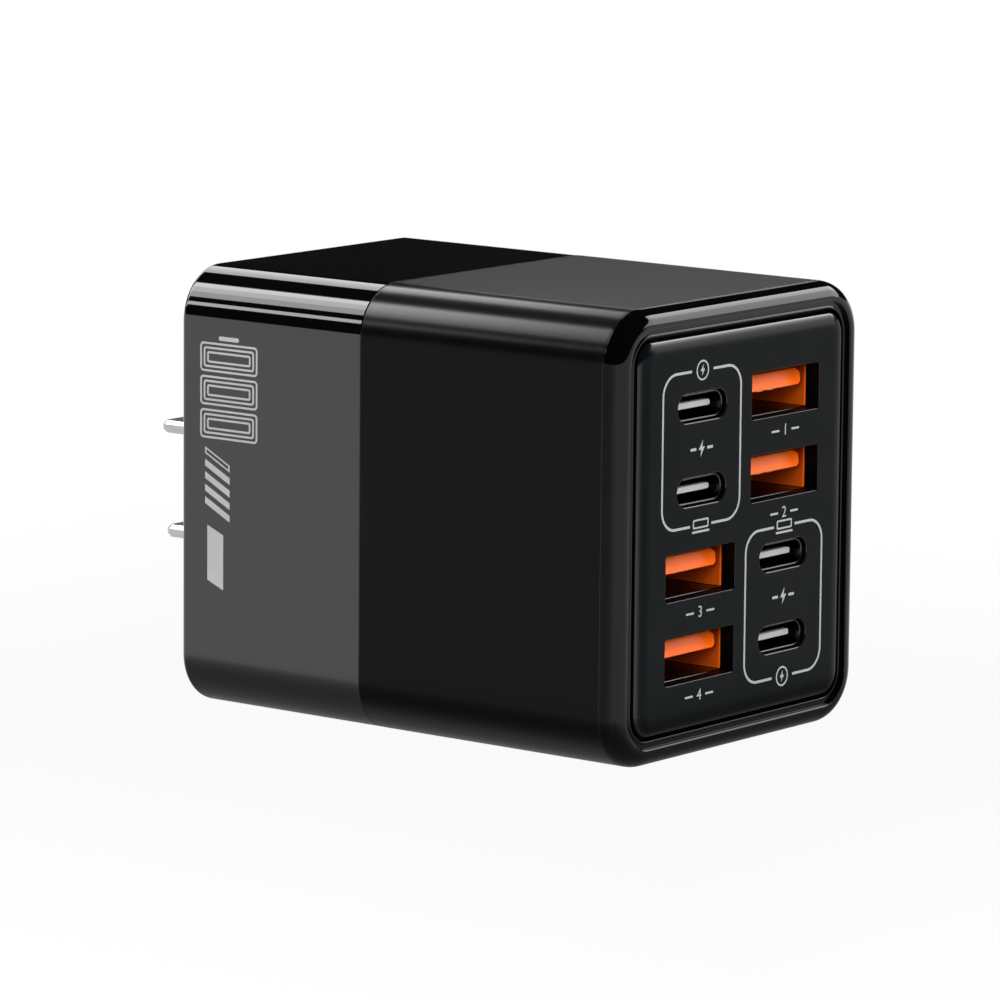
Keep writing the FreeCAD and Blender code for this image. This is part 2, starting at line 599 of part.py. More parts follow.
def make_thermal_pad():
    """Soft pad between the heat spreader and the front housing's wall."""
    y_low = SPREADER_FRONT + PART_GAP
    z_mid = BOARD_TOP + SPREADER_HEIGHT / 2
    return box(-INNER_HALF_WIDTH, -BOARD_HALF_WIDTH, y_low, y_low + PAD_LENGTH, z_mid - PAD_HEIGHT / 2,
               z_mid + PAD_HEIGHT / 2)


def make_chip_row(count, x_mid, y_mid):
    """Flat chips under the main board, in a row along X."""
    chips = []
    for place in range(count):
        x = x_mid + (place - (count - 1) / 2) * CHIP_PITCH
        chips.append(standing_block(CHIP_SIZE, x, y_mid, BOARD_UNDERSIDE - CHIP_SIZE[2]))
    return Part.makeCompound(chips)


def cell_columns():
    """Places across the port board, one for each converter."""
    return [(place - (CELL_COUNT - 1) / 2) * CELL_PITCH for place in range(CELL_COUNT)]


def make_output_capacitors():
    """Polymer cans on the back of the port board."""
    cans = []
    for x in cell_columns():
        cans.append(make_can(CAN_DIAMETER, CAN_LENGTH, CAN_EDGE, V(x, PORT_BOARD_BACK, CAN_ROW), V(0, 1, 0)))
    return Part.makeCompound(cans)


def make_buck_inductors():
    """Moulded inductors on the back of the port board."""
    back = PORT_BOARD_BACK + INDUCTOR_DEPTH
    return Part.makeCompound([slab(INDUCTOR_SIZE, INDUCTOR_SIZE, INDUCTOR_CORNER, PORT_BOARD_BACK, back,
                                   x, INDUCTOR_ROW) for x in cell_columns()])


def make_port_controllers():
    """Chips on the front of the port board, in the gaps between the receptacles."""
    between_rows = (PORT_ROW_INNER + PORT_ROW_OUTER) / 2
    places = [(-PORT_COLUMN, 0), (PORT_COLUMN, 0), (-PORT_COLUMN, between_rows), (PORT_COLUMN, -between_rows)]
    half, low = CONTROLLER_SIZE / 2, PORT_BOARD_FRONT - CONTROLLER_THICKNESS
    return Part.makeCompound([box(x - half, x + half, low, PORT_BOARD_FRONT, BODY_MIDDLE + z - half,
                                  BODY_MIDDLE + z + half) for x, z in places])


def make_bulk_capacitors():
    """Cans beside the heat spreader, each second one stepping aside where the row is too short for it."""
    cans = []
    for place in range(BULK_COUNT):
        foot = V(BULK_X + place % 2 * BULK_SHIFT, BULK_Y + place * BULK_STEP, BOARD_TOP)
        cans.append(make_can(BULK_DIAMETER, BULK_HEIGHT, BULK_EDGE, foot, V(0, 0, 1)))
    return Part.makeCompound(cans)


def make_x_capacitor():
    """Box capacitor across the mains, near the blade leads."""
    width, depth, height = X_CAP_SIZE
    block = standing_block(X_CAP_SIZE, LEFT_STRIP + width / 2, REAR_STRIP - depth / 2, BOARD_TOP)
    upright = [e for e in block.Edges if e.BoundBox.ZLength > height - TOLERANCE]
    return block.makeFillet(X_CAP_EDGE, upright)


def build():
    """All nodes by name."""
    nodes = {"front_housing": make_front_housing(), "rear_housing": make_rear_housing(),
             "front_panel": make_front_panel()}
    for number, (x, z) in enumerate(USB_A_PLACES, 1):
        shell, insulator, contacts = make_usb_a(x, z)
        nodes[f"usb_a_shell_{number}"] = shell
        nodes[f"usb_a_insulator_{number}"] = insulator
        nodes[f"usb_a_contacts_{number}"] = contacts
    for number, (x, z) in enumerate(USB_C_PLACES, 1):
        shell, insulator, contacts = make_usb_c(x, z)
        nodes[f"usb_c_shell_{number}"] = shell
        nodes[f"usb_c_insulator_{number}"] = insulator
        nodes[f"usb_c_contacts_{number}"] = contacts
    neutral_z, line_z = BLADE_SPACING / 2, -BLADE_SPACING / 2
    nodes["neutral_blade"] = make_blade(NEUTRAL_WIDTH, neutral_z, -1)
    nodes["line_blade"] = make_blade(LINE_WIDTH, line_z, 1)
    nodes["blade_carrier"] = make_carrier([nodes["neutral_blade"], nodes["line_blade"]])
    nodes["neutral_lead"] = make_lead(neutral_z + BLADE_THICKNESS / 2, -1)
    nodes["line_lead"] = make_lead(line_z + BLADE_THICKNESS / 2, 1)
    nodes["main_board"] = make_main_board()
    nodes["port_board"] = make_port_board()
    nodes["board_pins"] = make_board_pins()
    nodes["transformer_core"], nodes["transformer_bobbin"], nodes["transformer_winding"] = make_transformer()
    nodes["line_choke_core"], nodes["line_choke_winding"] = make_choke()
    nodes["x_capacitor"] = make_x_capacitor()
    nodes["y_capacitor"] = make_y_capacitor()
    nodes["bulk_capacitors"] = make_bulk_capacitors()
    nodes["input_fuse"] = standing_block(FUSE_SIZE, CHOKE_X, FUSE_Y, BOARD_TOP)
    nodes["bridge_rectifier"] = standing_block(BRIDGE_SIZE, BRIDGE_X, BRIDGE_Y, BOARD_TOP)
    nodes["optocoupler"] = standing_block(
        OPTO_SIZE, TRANSFORMER_X - CORE_WIDTH / 2 - PART_GAP - OPTO_SIZE[0] / 2, TRANSFORMER_Y, BOARD_TOP)
    nodes["power_switches"] = make_chip_row(2, 0, TRANSFORMER_Y + WINDING_DEPTH)
    nodes["primary_controller"] = make_chip_row(1, 0, TRANSFORMER_Y + WINDING_DEPTH + CHIP_PITCH)
    nodes["rectifier_switches"] = make_chip_row(2, 0, TRANSFORMER_Y)
    nodes["heat_spreader"] = make_heat_spreader()
    nodes["thermal_pad"] = make_thermal_pad()
    nodes["output_capacitors"] = make_output_capacitors()
    nodes["buck_inductors"] = make_buck_inductors()
    nodes["port_controllers"] = make_port_controllers()
    return nodes


os.makedirs("parts", exist_ok=True)
for name, shape in build().items():
    shape.exportStep(f"parts/{name}.step")
    print(name, len(shape.Solids), round(shape.Volume, 2), shape.isValid())
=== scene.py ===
"""Looks of the multi-port wall charger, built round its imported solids.

Sizes are millimetres until a mesh is made.
"""
import logging
import math
from dataclasses import dataclass
from enum import Enum, IntEnum
from typing import Iterable, Sequence

import bmesh
import bpy
from mathutils import Matrix, Vector


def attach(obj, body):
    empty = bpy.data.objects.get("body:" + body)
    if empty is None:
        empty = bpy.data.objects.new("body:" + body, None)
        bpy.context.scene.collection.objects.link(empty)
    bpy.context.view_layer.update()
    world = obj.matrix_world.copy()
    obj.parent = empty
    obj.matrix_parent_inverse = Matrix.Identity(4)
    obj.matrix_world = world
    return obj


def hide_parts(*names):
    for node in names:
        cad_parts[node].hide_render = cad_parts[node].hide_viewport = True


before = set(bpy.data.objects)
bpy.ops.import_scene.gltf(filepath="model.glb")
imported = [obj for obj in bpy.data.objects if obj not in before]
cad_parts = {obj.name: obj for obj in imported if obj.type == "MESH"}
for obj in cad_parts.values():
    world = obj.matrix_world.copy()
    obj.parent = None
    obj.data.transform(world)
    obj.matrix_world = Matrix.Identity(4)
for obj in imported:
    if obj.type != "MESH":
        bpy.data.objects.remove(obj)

Rgb = tuple[float, float, float]
Pair = tuple[float, float]
Socket = bpy.types.NodeSocket
Ring = list[bmesh.types.BMVert]

MM = 0.001
ROOT = "root"
SHARP_ANGLE = math.radians(28.0)
COAT_FADE: Pair = (0.80, 0.99)
TOP_FADE: Pair = (0.945, 0.97)
CAP_HEIGHT = 0.69
WELD = 1e-5
HAIR = 1e-3
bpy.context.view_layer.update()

log = logging.getLogger("charger")


class Facing(Enum):
    """The way that a finish's plain faces look, where its gloss coat is left off."""

    SIDEWAYS = "X"
    FORWARD = "Y"


class Chords(IntEnum):
    """How many chords a quarter turn is drawn with."""

    HIDDEN = 3
    TINY = 4
    SMALL = 5
    MOUTH = 6
    EDGE = 8
    TIP = 10
    ROUND = 12
    OVAL = 14
    BODY = 24
    RIM = 32


class Surface(Enum):
    """How a surface was made, which picks the node group that varies it."""

    MOULDED = "moulded"
    ROLLED = "rolled"
    WOVEN = "woven"
    WOUND = "wound"


class Plane(Enum):
    """The face that a print lies on, as its across, up and outward directions."""

    PORT_FACE = (Vector((1, 0, 0)), Vector((0, 0, 1)), Vector((0, -1, 0)))
    LEFT_SIDE = (Vector((0, -1, 0)), Vector((0, 0, 1)), Vector((-1, 0, 0)))


class NodeSheet:
    """A node tree that is filled from left to right."""

    def __init__(self, tree: bpy.types.NodeTree) -> None:
        """Takes the tree to fill."""
        self.tree = tree

    def add(self, kind: str, **settings: object) -> bpy.types.Node:
        """Adds a node.

        Args:
            kind: Blender's name of the node type.
            settings: attributes to set on the node.

        Returns:
            The new node.
        """
        node = self.tree.nodes.new(kind)
        for key, value in settings.items():
            setattr(node, key, value)
        return node

    def link(self, start: Socket, end: Socket) -> None:
        """Joins two sockets."""
        self.tree.links.new(start, end)

    def math(self, operation: str, *terms: object) -> Socket:
        """Adds a Math node.

        Args:
            operation: the node's operation.
            terms: sockets or numbers for its inputs.

        Returns:
            The node's output socket.
        """
        node = self.add("ShaderNodeMath", operation=operation)
        for socket, term in zip(node.inputs, terms):
            if isinstance(term, Socket):
                self.link(term, socket)
            else:
                socket.default_value = term
        return node.outputs[0]

    def remap(self, value: Socket, source: Pair, target: Pair) -> Socket:
        """Maps a value from one range to another with soft ends.

        Args:
            value: the socket to map.
            source: the range that it comes from.
            target: the range that it goes to.

        Returns:
            The mapped socket.
        """
        node = self.add("ShaderNodeMapRange", interpolation_type="SMOOTHSTEP")
        self.link(value, node.inputs["Value"])
        for key, number in zip(("From Min", "From Max", "To Min", "To Max"), source + target):
            node.inputs[key].default_value = number
        return node.outputs["Result"]


class SurfaceGroups:
    """The shader node groups that vary colour, roughness and height, each built once."""

    def __init__(self) -> None:
        """Starts with no group built."""
        self.built: dict[Surface, bpy.types.NodeTree] = {}

    def get(self, surface: Surface) -> bpy.types.NodeTree:
        """Gives the group of a surface, building it at its first use.

        Args:
            surface: how the surface was made.

        Returns:
            The node group.
        """
        if surface not in self.built:
            self.built[surface] = self.build(surface)
        return self.built[surface]

    def build(self, surface: Surface) -> bpy.types.NodeTree:
        """Builds one group with the inputs and outputs that all of them share.

        Args:
            surface: how the surface was made.

        Returns:
            The node group.
        """
        tree = bpy.data.node_groups.new(f"{surface.value}_surface", "ShaderNodeTree")
        for name, kind in (("Dark", "NodeSocketColor"), ("Light", "NodeSocketColor"),
                           ("Rough Low", "NodeSocketFloat"), ("Rough High", "NodeSocketFloat"),
                           ("Fineness", "NodeSocketFloat")):
            tree.interface.new_socket(name, in_out="INPUT", socket_type=kind)
        for name, kind in (("Colour", "NodeSocketColor"), ("Roughness", "NodeSocketFloat"),
                           ("Height", "NodeSocketFloat")):
            tree.interface.new_socket(name, in_out="OUTPUT", socket_type=kind)
        sheet = NodeSheet(tree)
        given, result = sheet.add("NodeGroupInput"), sheet.add("NodeGroupOutput")
        place = sheet.add("ShaderNodeTexCoord").outputs["Object"]
        scaled = sheet.add("ShaderNodeVectorMath", operation="SCALE")
        sheet.link(place, scaled.inputs[0])
        sheet.link(given.outputs["Fineness"], scaled.inputs["Scale"])
        height, tone = getattr(self, surface.value)(sheet, scaled.outputs[0])

        for kind, low, high, name in (("RGBA", "Dark", "Light", "Colour"),
                                      ("FLOAT", "Rough Low", "Rough High", "Roughness")):
            mix = sheet.add("ShaderNodeMix", data_type=kind)
            sheet.link(tone, mix.inputs["Factor"])
            sheet.link(given.outputs[low], mix.inputs["A"])
            sheet.link(given.outputs[high], mix.inputs["B"])
            sheet.link(mix.outputs["Result"], result.inputs[name])
        sheet.link(height, result.inputs["Height"])
        return tree

    def noise(self, sheet: NodeSheet, place: Socket, scale: float, detail: float) -> Socket:
        """Adds a noise texture.

        Args:
            sheet: the tree to add to.
            place: the coordinates.
            scale: the texture's scale.
            detail: the octaves.

        Returns:
            The noise value.
        """
        node = sheet.add("ShaderNodeTexNoise")
        node.inputs["Scale"].default_value = scale
        node.inputs["Detail"].default_value = detail
        sheet.link(place, node.inputs["Vector"])
        return node.outputs["Fac"]

    def wave(self, sheet: NodeSheet, place: Socket, direction: str, distortion: float) -> Socket:
        """Adds a texture of even bands.

        Args:
            sheet: the tree to add to.
            place: the coordinates.
            direction: the axis that the bands follow one another along.
            distortion: how far they waver.

        Returns:
            The band value.
        """
        node = sheet.add("ShaderNodeTexWave", bands_direction=direction)
        node.inputs["Scale"].default_value = 1.0
        node.inputs["Distortion"].default_value = distortion
        sheet.link(place, node.inputs["Vector"])
        return node.outputs["Fac"]

    def moulded(self, sheet: NodeSheet, place: Socket) -> tuple[Socket, Socket]:
        """Spark-eroded tool grain with slow clouds of gloss.

        Args:
            sheet: the tree to add to.
            place: the scaled coordinates.

        Returns:
            The height and the tone.
        """
        grain = self.noise(sheet, place, scale=1.0, detail=2.0)
        cloud = self.noise(sheet, place, scale=0.02, detail=3.0)
        tone = sheet.math("ADD", sheet.math("MULTIPLY", grain, 0.35), sheet.math("MULTIPLY", cloud, 0.65))
        return grain, sheet.remap(tone, (0.3, 0.7), (0.0, 1.0))

    def rolled(self, sheet: NodeSheet, place: Socket) -> tuple[Socket, Socket]:
        """Fine lines left by rolling and drawing a metal strip along Y.

        Args:
            sheet: the tree to add to.
            place: the scaled coordinates.

        Returns:
            The height and the tone.
        """
        stretch = sheet.add("ShaderNodeVectorMath", operation="MULTIPLY")
        stretch.inputs[1].default_value = (1.0, 0.05, 1.0)
        sheet.link(place, stretch.inputs[0])
        lines = self.noise(sheet, stretch.outputs[0], scale=1.0, detail=3.0)
        return lines, sheet.remap(lines, (0.25, 0.75), (0.0, 1.0))

    def woven(self, sheet: NodeSheet, place: Socket) -> tuple[Socket, Socket]:
        """Glass weave under the mask of a circuit board.

        Args:
            sheet: the tree to add to.
            place: the scaled coordinates.

        Returns:
            The height and the tone.
        """
        across, along = (self.wave(sheet, place, axis, distortion=0.6) for axis in ("X", "Y"))
        weave = sheet.math("MULTIPLY", across, along)
        cloud = self.noise(sheet, place, scale=0.2, detail=3.0)
        return weave, sheet.math("MULTIPLY", weave, cloud)

    def wound(self, sheet: NodeSheet, place: Socket) -> tuple[Socket, Socket]:
        """Turns of wire lying side by side up the coil, the colour following the bands so that it is darker
        in the grooves between turns: painted shade.

        Args:
            sheet: the tree to add to.
            place: the scaled coordinates.

        Returns:
            The height and the tone.
        """
        turns = self.wave(sheet, place, "Z", distortion=0.4)
        return turns, turns


GROUPS = SurfaceGroups()


@dataclass(frozen=True)
class Finish:
    """A surface finish: two tones, a range of roughness, and its texture's fineness per metre and depth.

    Where bare is given, the gloss coat is left off the faces that look that way and off level tops.
    """

    name: str
    surface: Surface
    dark: Rgb
    light: Rgb
    rough: Pair
    fineness: float
    depth: float = 0.0
    metallic: float = 0.0
    specular: float = 0.5
    coat: float = 0.0
    bare: Facing | None = None
    coat_roughness: float = 0.03

    def material(self) -> bpy.types.Material:
        """Gives the finish's material, building it at its first use.

        Returns:
            The material.
        """
        name = f"{self.name}_finish"
        made = bpy.data.materials.get(name)
        if made is not None:
            return made
        made = bpy.data.materials.new(name)
        made.use_nodes = True
        sheet = NodeSheet(made.node_tree)
        shader = made.node_tree.nodes["Principled BSDF"]
        for key, value in (("Metallic", self.metallic), ("Specular IOR Level", self.specular),
                           ("Coat Weight", self.coat), ("Coat Roughness", self.coat_roughness)):
            shader.inputs[key].default_value = value
        group = sheet.add("ShaderNodeGroup", node_tree=GROUPS.get(self.surface))
        for key, value in (("Dark", (*self.dark, 1.0)), ("Light", (*self.light, 1.0)),
                           ("Rough Low", self.rough[0]), ("Rough High", self.rough[1]),
                           ("Fineness", self.fineness)):
            group.inputs[key].default_value = value
        sheet.link(group.outputs["Colour"], shader.inputs["Base Color"])
        sheet.link(group.outputs["Roughness"], shader.inputs["Roughness"])
        if self.bare:
            facing = sheet.add("ShaderNodeSeparateXYZ")
            sheet.link(sheet.add("ShaderNodeNewGeometry").outputs["Normal"], facing.inputs[0])
            turned = sheet.math("ABSOLUTE", facing.outputs[self.bare.value])
            weight = sheet.remap(turned, COAT_FADE, (self.coat, 0.0))
            tops = sheet.remap(facing.outputs["Z"], TOP_FADE, (1.0, 0.0))
            sheet.link(sheet.math("MULTIPLY", weight, tops), shader.inputs["Coat Weight"])
        if self.depth:
            bump = sheet.add("ShaderNodeBump")
            bump.inputs["Distance"].default_value = self.depth * MM
            sheet.link(group.outputs["Height"], bump.inputs["Height"])
            sheet.link(bump.outputs["Normal"], shader.inputs["Normal"])
        return made


REAR_GLOSS = Finish("rear_gloss", Surface.MOULDED, (0.0012, 0.0013, 0.0014), (0.0018, 0.0019, 0.002),
                    (0.035, 0.06), 900.0, 0.0002, coat=0.6)
RIM_GLOSS = Finish("rim_gloss", Surface.MOULDED, (0.0008, 0.0008, 0.0009), (0.0012, 0.0012, 0.0013),
                   (0.05, 0.08), 900.0, 0.0002, specular=0.12, coat=0.35, coat_roughness=0.04,
                   bare=Facing.SIDEWAYS)
FRONT_SATIN = Finish("front_satin", Surface.MOULDED, (0.0014, 0.0018, 0.0014), (0.0022, 0.0026, 0.0022),
                     (0.22, 0.24), 9000.0, 0.0006, specular=0.09, coat=1.0, coat_roughness=0.2,
                     bare=Facing.SIDEWAYS)
PANEL_SATIN = Finish("panel_satin", Surface.MOULDED, (0.0015, 0.0022, 0.0026), (0.0022, 0.0030, 0.0035),
                     (0.17, 0.21), 9000.0, 0.0006, specular=0.06, coat=1.0, coat_roughness=0.12,
                     bare=Facing.FORWARD)
# Near-black plastic for the groove behind the rim, the panel's edge and the mouth walls, made dull so that
# these recesses read as shadow: painted shade.
RECESS_PAINTED_SHADE = Finish("recess_painted_shade", Surface.MOULDED, (0.0008, 0.0008, 0.0009), (0.0012, 0.0012, 0.0013),
                  (0.45, 0.55), 6000.0, 0.001, specular=0.08)
PRINT_INK = Finish("print_ink", Surface.MOULDED, (0.31, 0.32, 0.33), (0.37, 0.38, 0.39), (0.45, 0.6),
                   12000.0, 0.001)
SIDE_INK = Finish("side_ink", Surface.MOULDED, (0.54, 0.55, 0.55), (0.62, 0.63, 0.63), (0.4, 0.5), 12000.0,
                  0.001)
BLADE_NICKEL = Finish("blade_nickel", Surface.ROLLED, (0.46, 0.46, 0.46), (0.56, 0.56, 0.56), (0.16, 0.26),
                      6000.0, 0.002, metallic=0.75)
PORT_STEEL = Finish("port_steel", Surface.ROLLED, (0.06, 0.06, 0.062), (0.10, 0.10, 0.102), (0.26, 0.36),
                    6000.0, 0.002, metallic=1.0)
PORT_DARK = Finish("port_dark_steel", Surface.ROLLED, (0.05, 0.05, 0.052), (0.09, 0.09, 0.092), (0.2, 0.3),
                   6000.0, 0.002, metallic=1.0)
PORT_ORANGE = Finish("port_orange", Surface.MOULDED, (0.82, 0.112, 0.004), (0.90, 0.135, 0.008),
                     (0.28, 0.38), 7000.0, 0.001, specular=0.12)
PORT_PALE = Finish("port_pale", Surface.MOULDED, (0.36, 0.36, 0.36), (0.44, 0.44, 0.44), (0.35, 0.45),
                   7000.0, 0.001)
CONTACT_GOLD = Finish("contact_gold", Surface.ROLLED, (0.80, 0.55, 0.20), (0.95, 0.70, 0.30), (0.18, 0.28),
                      8000.0, 0.001, metallic=1.0)
# Gold of the USB-C contacts darkened to near black: painted shade for their place deep in the mouths.
CONTACT_PAINTED_SHADE = Finish("contact_painted_shade", Surface.ROLLED, (0.05, 0.035, 0.015), (0.08, 0.06, 0.025), (0.4, 0.5),
                      8000.0, 0.001, metallic=1.0)
LEAD_COPPER = Finish("lead_copper", Surface.ROLLED, (0.70, 0.33, 0.18), (0.85, 0.45, 0.28), (0.25, 0.4),
                     6000.0, 0.002, metallic=1.0)
CARRIER = Finish("carrier_plastic", Surface.MOULDED, (0.012, 0.012, 0.013), (0.02, 0.02, 0.021), (0.4, 0.5),
                 8000.0, 0.002)
LAMINATE = Finish("board_laminate", Surface.WOVEN, (0.004, 0.045, 0.018), (0.012, 0.10, 0.04), (0.3, 0.45),
                  2500.0, 0.01)
FERRITE = Finish("ferrite", Surface.MOULDED, (0.03, 0.03, 0.032), (0.06, 0.06, 0.062), (0.5, 0.65), 5000.0,
                 0.006)
# Winding copper: its dark tone falls in the grooves between turns, painted shade.
WINDING = Finish("winding_copper", Surface.WOUND, (0.28, 0.10, 0.03), (0.60, 0.26, 0.09), (0.25, 0.4),
                 1600.0, 0.12, metallic=0.6)
CAP_BOX = Finish("capacitor_box", Surface.MOULDED, (0.55, 0.42, 0.05), (0.66, 0.52, 0.08), (0.35, 0.5),
                 4000.0, 0.002)
CAP_DISC = Finish("capacitor_disc", Surface.MOULDED, (0.04, 0.14, 0.36), (0.06, 0.20, 0.46), (0.3, 0.45),
                  4000.0, 0.004)
CAP_SLEEVE = Finish("capacitor_sleeve", Surface.MOULDED, (0.01, 0.012, 0.02), (0.02, 0.022, 0.034),
                    (0.25, 0.35), 4000.0, 0.001)
CHIP_BLACK = Finish("chip_black", Surface.MOULDED, (0.012, 0.012, 0.012), (0.022, 0.022, 0.022),
                    (0.5, 0.65), 9000.0, 0.003)
SPREADER = Finish("spreader_aluminium", Surface.ROLLED, (0.55, 0.56, 0.57), (0.70, 0.71, 0.72), (0.3, 0.45),
                  5000.0, 0.002, metallic=1.0)
PAD = Finish("pad_silicone", Surface.MOULDED, (0.22, 0.26, 0.34), (0.30, 0.34, 0.42), (0.6, 0.75), 5000.0,
             0.004)
CAN = Finish("can_aluminium", Surface.ROLLED, (0.62, 0.62, 0.63), (0.78, 0.78, 0.79), (0.2, 0.3), 5000.0,
             0.001, metallic=1.0)
INDUCTOR = Finish("inductor_grey", Surface.MOULDED, (0.09, 0.09, 0.095), (0.14, 0.14, 0.145), (0.5, 0.6),
                  6000.0, 0.004)

# The USB-C contacts take the gold with painted shade.
INNER_FINISHES: dict[str, Finish] = {
    "usb_a_contacts": CONTACT_GOLD, "usb_c_contacts": CONTACT_PAINTED_SHADE, "board_pins": CONTACT_GOLD,
    "blade_carrier": CARRIER, "neutral_lead": LEAD_COPPER, "line_lead": LEAD_COPPER,
    "main_board": LAMINATE, "port_board": LAMINATE,
    "transformer_core": FERRITE, "transformer_bobbin": CARRIER, "transformer_winding": WINDING,
    "line_choke_core": FERRITE, "line_choke_winding": WINDING,
    "x_capacitor": CAP_BOX, "y_capacitor": CAP_DISC, "bulk_capacitors": CAP_SLEEVE,
    **dict.fromkeys(("input_fuse", "bridge_rectifier", "optocoupler", "power_switches",
                     "primary_controller", "rectifier_switches", "port_controllers"), CHIP_BLACK),
    "heat_spreader": SPREADER, "thermal_pad": PAD, "output_capacitors": CAN, "buck_inductors": INDUCTOR,
}


def arc(centre: Pair, start: Pair, end: Pair, steps: int) -> list[Pair]:
    """Points on a quarter ellipse.

    Args:
        centre: its centre.
        start: its first end, on one axis.
        end: its last end, on the other axis.
        steps: the number of chords.

    Returns:
        The points, both ends among them.
    """
    points = []
    for step in range(steps + 1):
        turn = math.pi / 2 * step / steps
        a, b = math.cos(turn), math.sin(turn)
        points.append(tuple(c + (s - c) * a + (e - c) * b for c, s, e in zip(centre, start, end)))
    return points


def circle(middle: Pair, radius: float, steps: int = 36) -> list[Pair]:
    """Points of a circle about a middle point."""
    turns = (math.tau * step / steps for step in range(steps))
    return [(middle[0] + radius * math.cos(turn), middle[1] + radius * math.sin(turn)) for turn in turns]


@dataclass(frozen=True)
class Outline:
    """A rounded rectangle across Y, about a middle point."""

    width: float
    height: float
    corner: float
    x: float = 0.0
    z: float = 0.0
    steps: int = Chords.BODY

    def at(self, y: float, inset: float = 0.0) -> list[Vector]:
        """Points of the outline moved inwards.

        Args:
            y: the depth of its plane.
            inset: how far it is moved inwards.

        Returns:
            The points, anticlockwise as seen from the front.
        """
        corner = self.corner - inset
        half_w, half_h = self.width / 2 - inset - corner, self.height / 2 - inset - corner
        points = []
        for quarter, (side, rise) in enumerate(((1, 1), (-1, 1), (-1, -1), (1, -1))):
            for step in range(self.steps + 1):
                turn = math.pi / 2 * (quarter + step / self.steps)
                points.append(Vector((self.x + side * half_w + corner * math.cos(turn), y,
                                      self.z + rise * half_h + corner * math.sin(turn))))
        return points


class Body:
    """A piece in the making: rings of points, the skin between them, and its flat ends."""

    def __init__(self) -> None:
        """Starts with an empty mesh, whose faces take the first finish."""
        self.mesh = bmesh.new()
        self.paint = 0

    def ring(self, points: Iterable[Vector]) -> Ring:
        """Adds a closed ring of points and gives its vertices."""
        return [self.mesh.verts.new(point) for point in points]

    def skin(self, rings: Sequence[Ring], closed: bool = False) -> None:
        """Joins neighbouring rings with quads.

        Args:
            rings: rings with as many points each.
            closed: whether the last ring joins the first.
        """
        following = list(rings[1:]) + ([rings[0]] if closed else [])
        for first, second in zip(rings, following):
            for place in range(len(first)):
                after = (place + 1) % len(first)
                face = self.mesh.faces.new((first[place], first[after], second[after], second[place]))
                face.material_index = self.paint

    def cap(self, *loops: Ring) -> None:
        """Fills the flat area inside the first loop and outside the others."""
        edges = []
        for loop in loops:
            for place, vertex in enumerate(loop):
                pair = (vertex, loop[(place + 1) % len(loop)])
                edges.append(self.mesh.edges.get(pair) or self.mesh.edges.new(pair))
        bmesh.ops.triangle_fill(self.mesh, use_beauty=True, edges=edges)

    def tube(self, outline: Outline, profile: Sequence[Pair], closed: bool = False) -> list[Ring]:
        """Carries a profile of insets and depths round an outline.

        Args:
            outline: the outline to follow.
            profile: the insets and depths.
            closed: whether the profile ends where it starts.

        Returns:
            The rings, in the profile's order.
        """
        rings = [self.ring(outline.at(y, inset)) for inset, y in profile]
        self.skin(rings, closed)
        return rings

    def bar(self, outline: Outline, profile: Sequence[Pair]) -> None:
        """Adds a solid bar with flat ends from a profile of insets and depths."""
        rings = self.tube(outline, profile)
        self.cap(rings[0])
        self.cap(rings[-1])

    def block(self, low: Vector, high: Vector) -> None:
        """Adds a block between two corners, for hidden ribs."""
        size = high - low
        matrix = Matrix.Translation((low + high) / 2) @ Matrix.Diagonal((*size, 1.0))
        bmesh.ops.create_cube(self.mesh, size=1.0, matrix=matrix)

    def piece(self, name: str, finish: Finish, slot: str, replaced: Sequence[str] = ()) -> bpy.types.Object:
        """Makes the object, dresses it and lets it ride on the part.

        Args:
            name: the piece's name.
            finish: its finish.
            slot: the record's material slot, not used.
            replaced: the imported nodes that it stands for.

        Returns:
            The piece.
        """
        bmesh.ops.recalc_face_normals(self.mesh, faces=self.mesh.faces[:])
        bmesh.ops.scale(self.mesh, vec=(MM, MM, MM), verts=self.mesh.verts[:])
        data = bpy.data.meshes.new(name)
        self.mesh.to_mesh(data)
        self.mesh.free()
        data.shade_smooth()
        data.set_sharp_from_angle(angle=SHARP_ANGLE)
        return place_piece(name, data, finish, replaced)


def place_piece(name: str, data: bpy.types.Mesh, finish: Finish, replaced: Sequence[str],
                at: Vector = Vector()) -> bpy.types.Object:
    """Puts a mesh into the scene as a piece.

    Args:
        name: the piece's name.
        data: its mesh.
        finish: its finish.
        replaced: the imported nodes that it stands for.
        at: its place, in millimetres.

    Returns:
        The piece.
    """
    piece = bpy.data.objects.new(name, data)
    if not data.materials:
        data.materials.append(finish.material())
    bpy.context.scene.collection.objects.link(piece)
    piece.location = at * MM
    normals = piece.modifiers.new("even_normals", "WEIGHTED_NORMAL")
    normals.keep_sharp = True
    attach(piece, ROOT)
    if replaced:
        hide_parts(*replaced)
    log.info("%s: %d faces", name, len(data.polygons))
    return piece


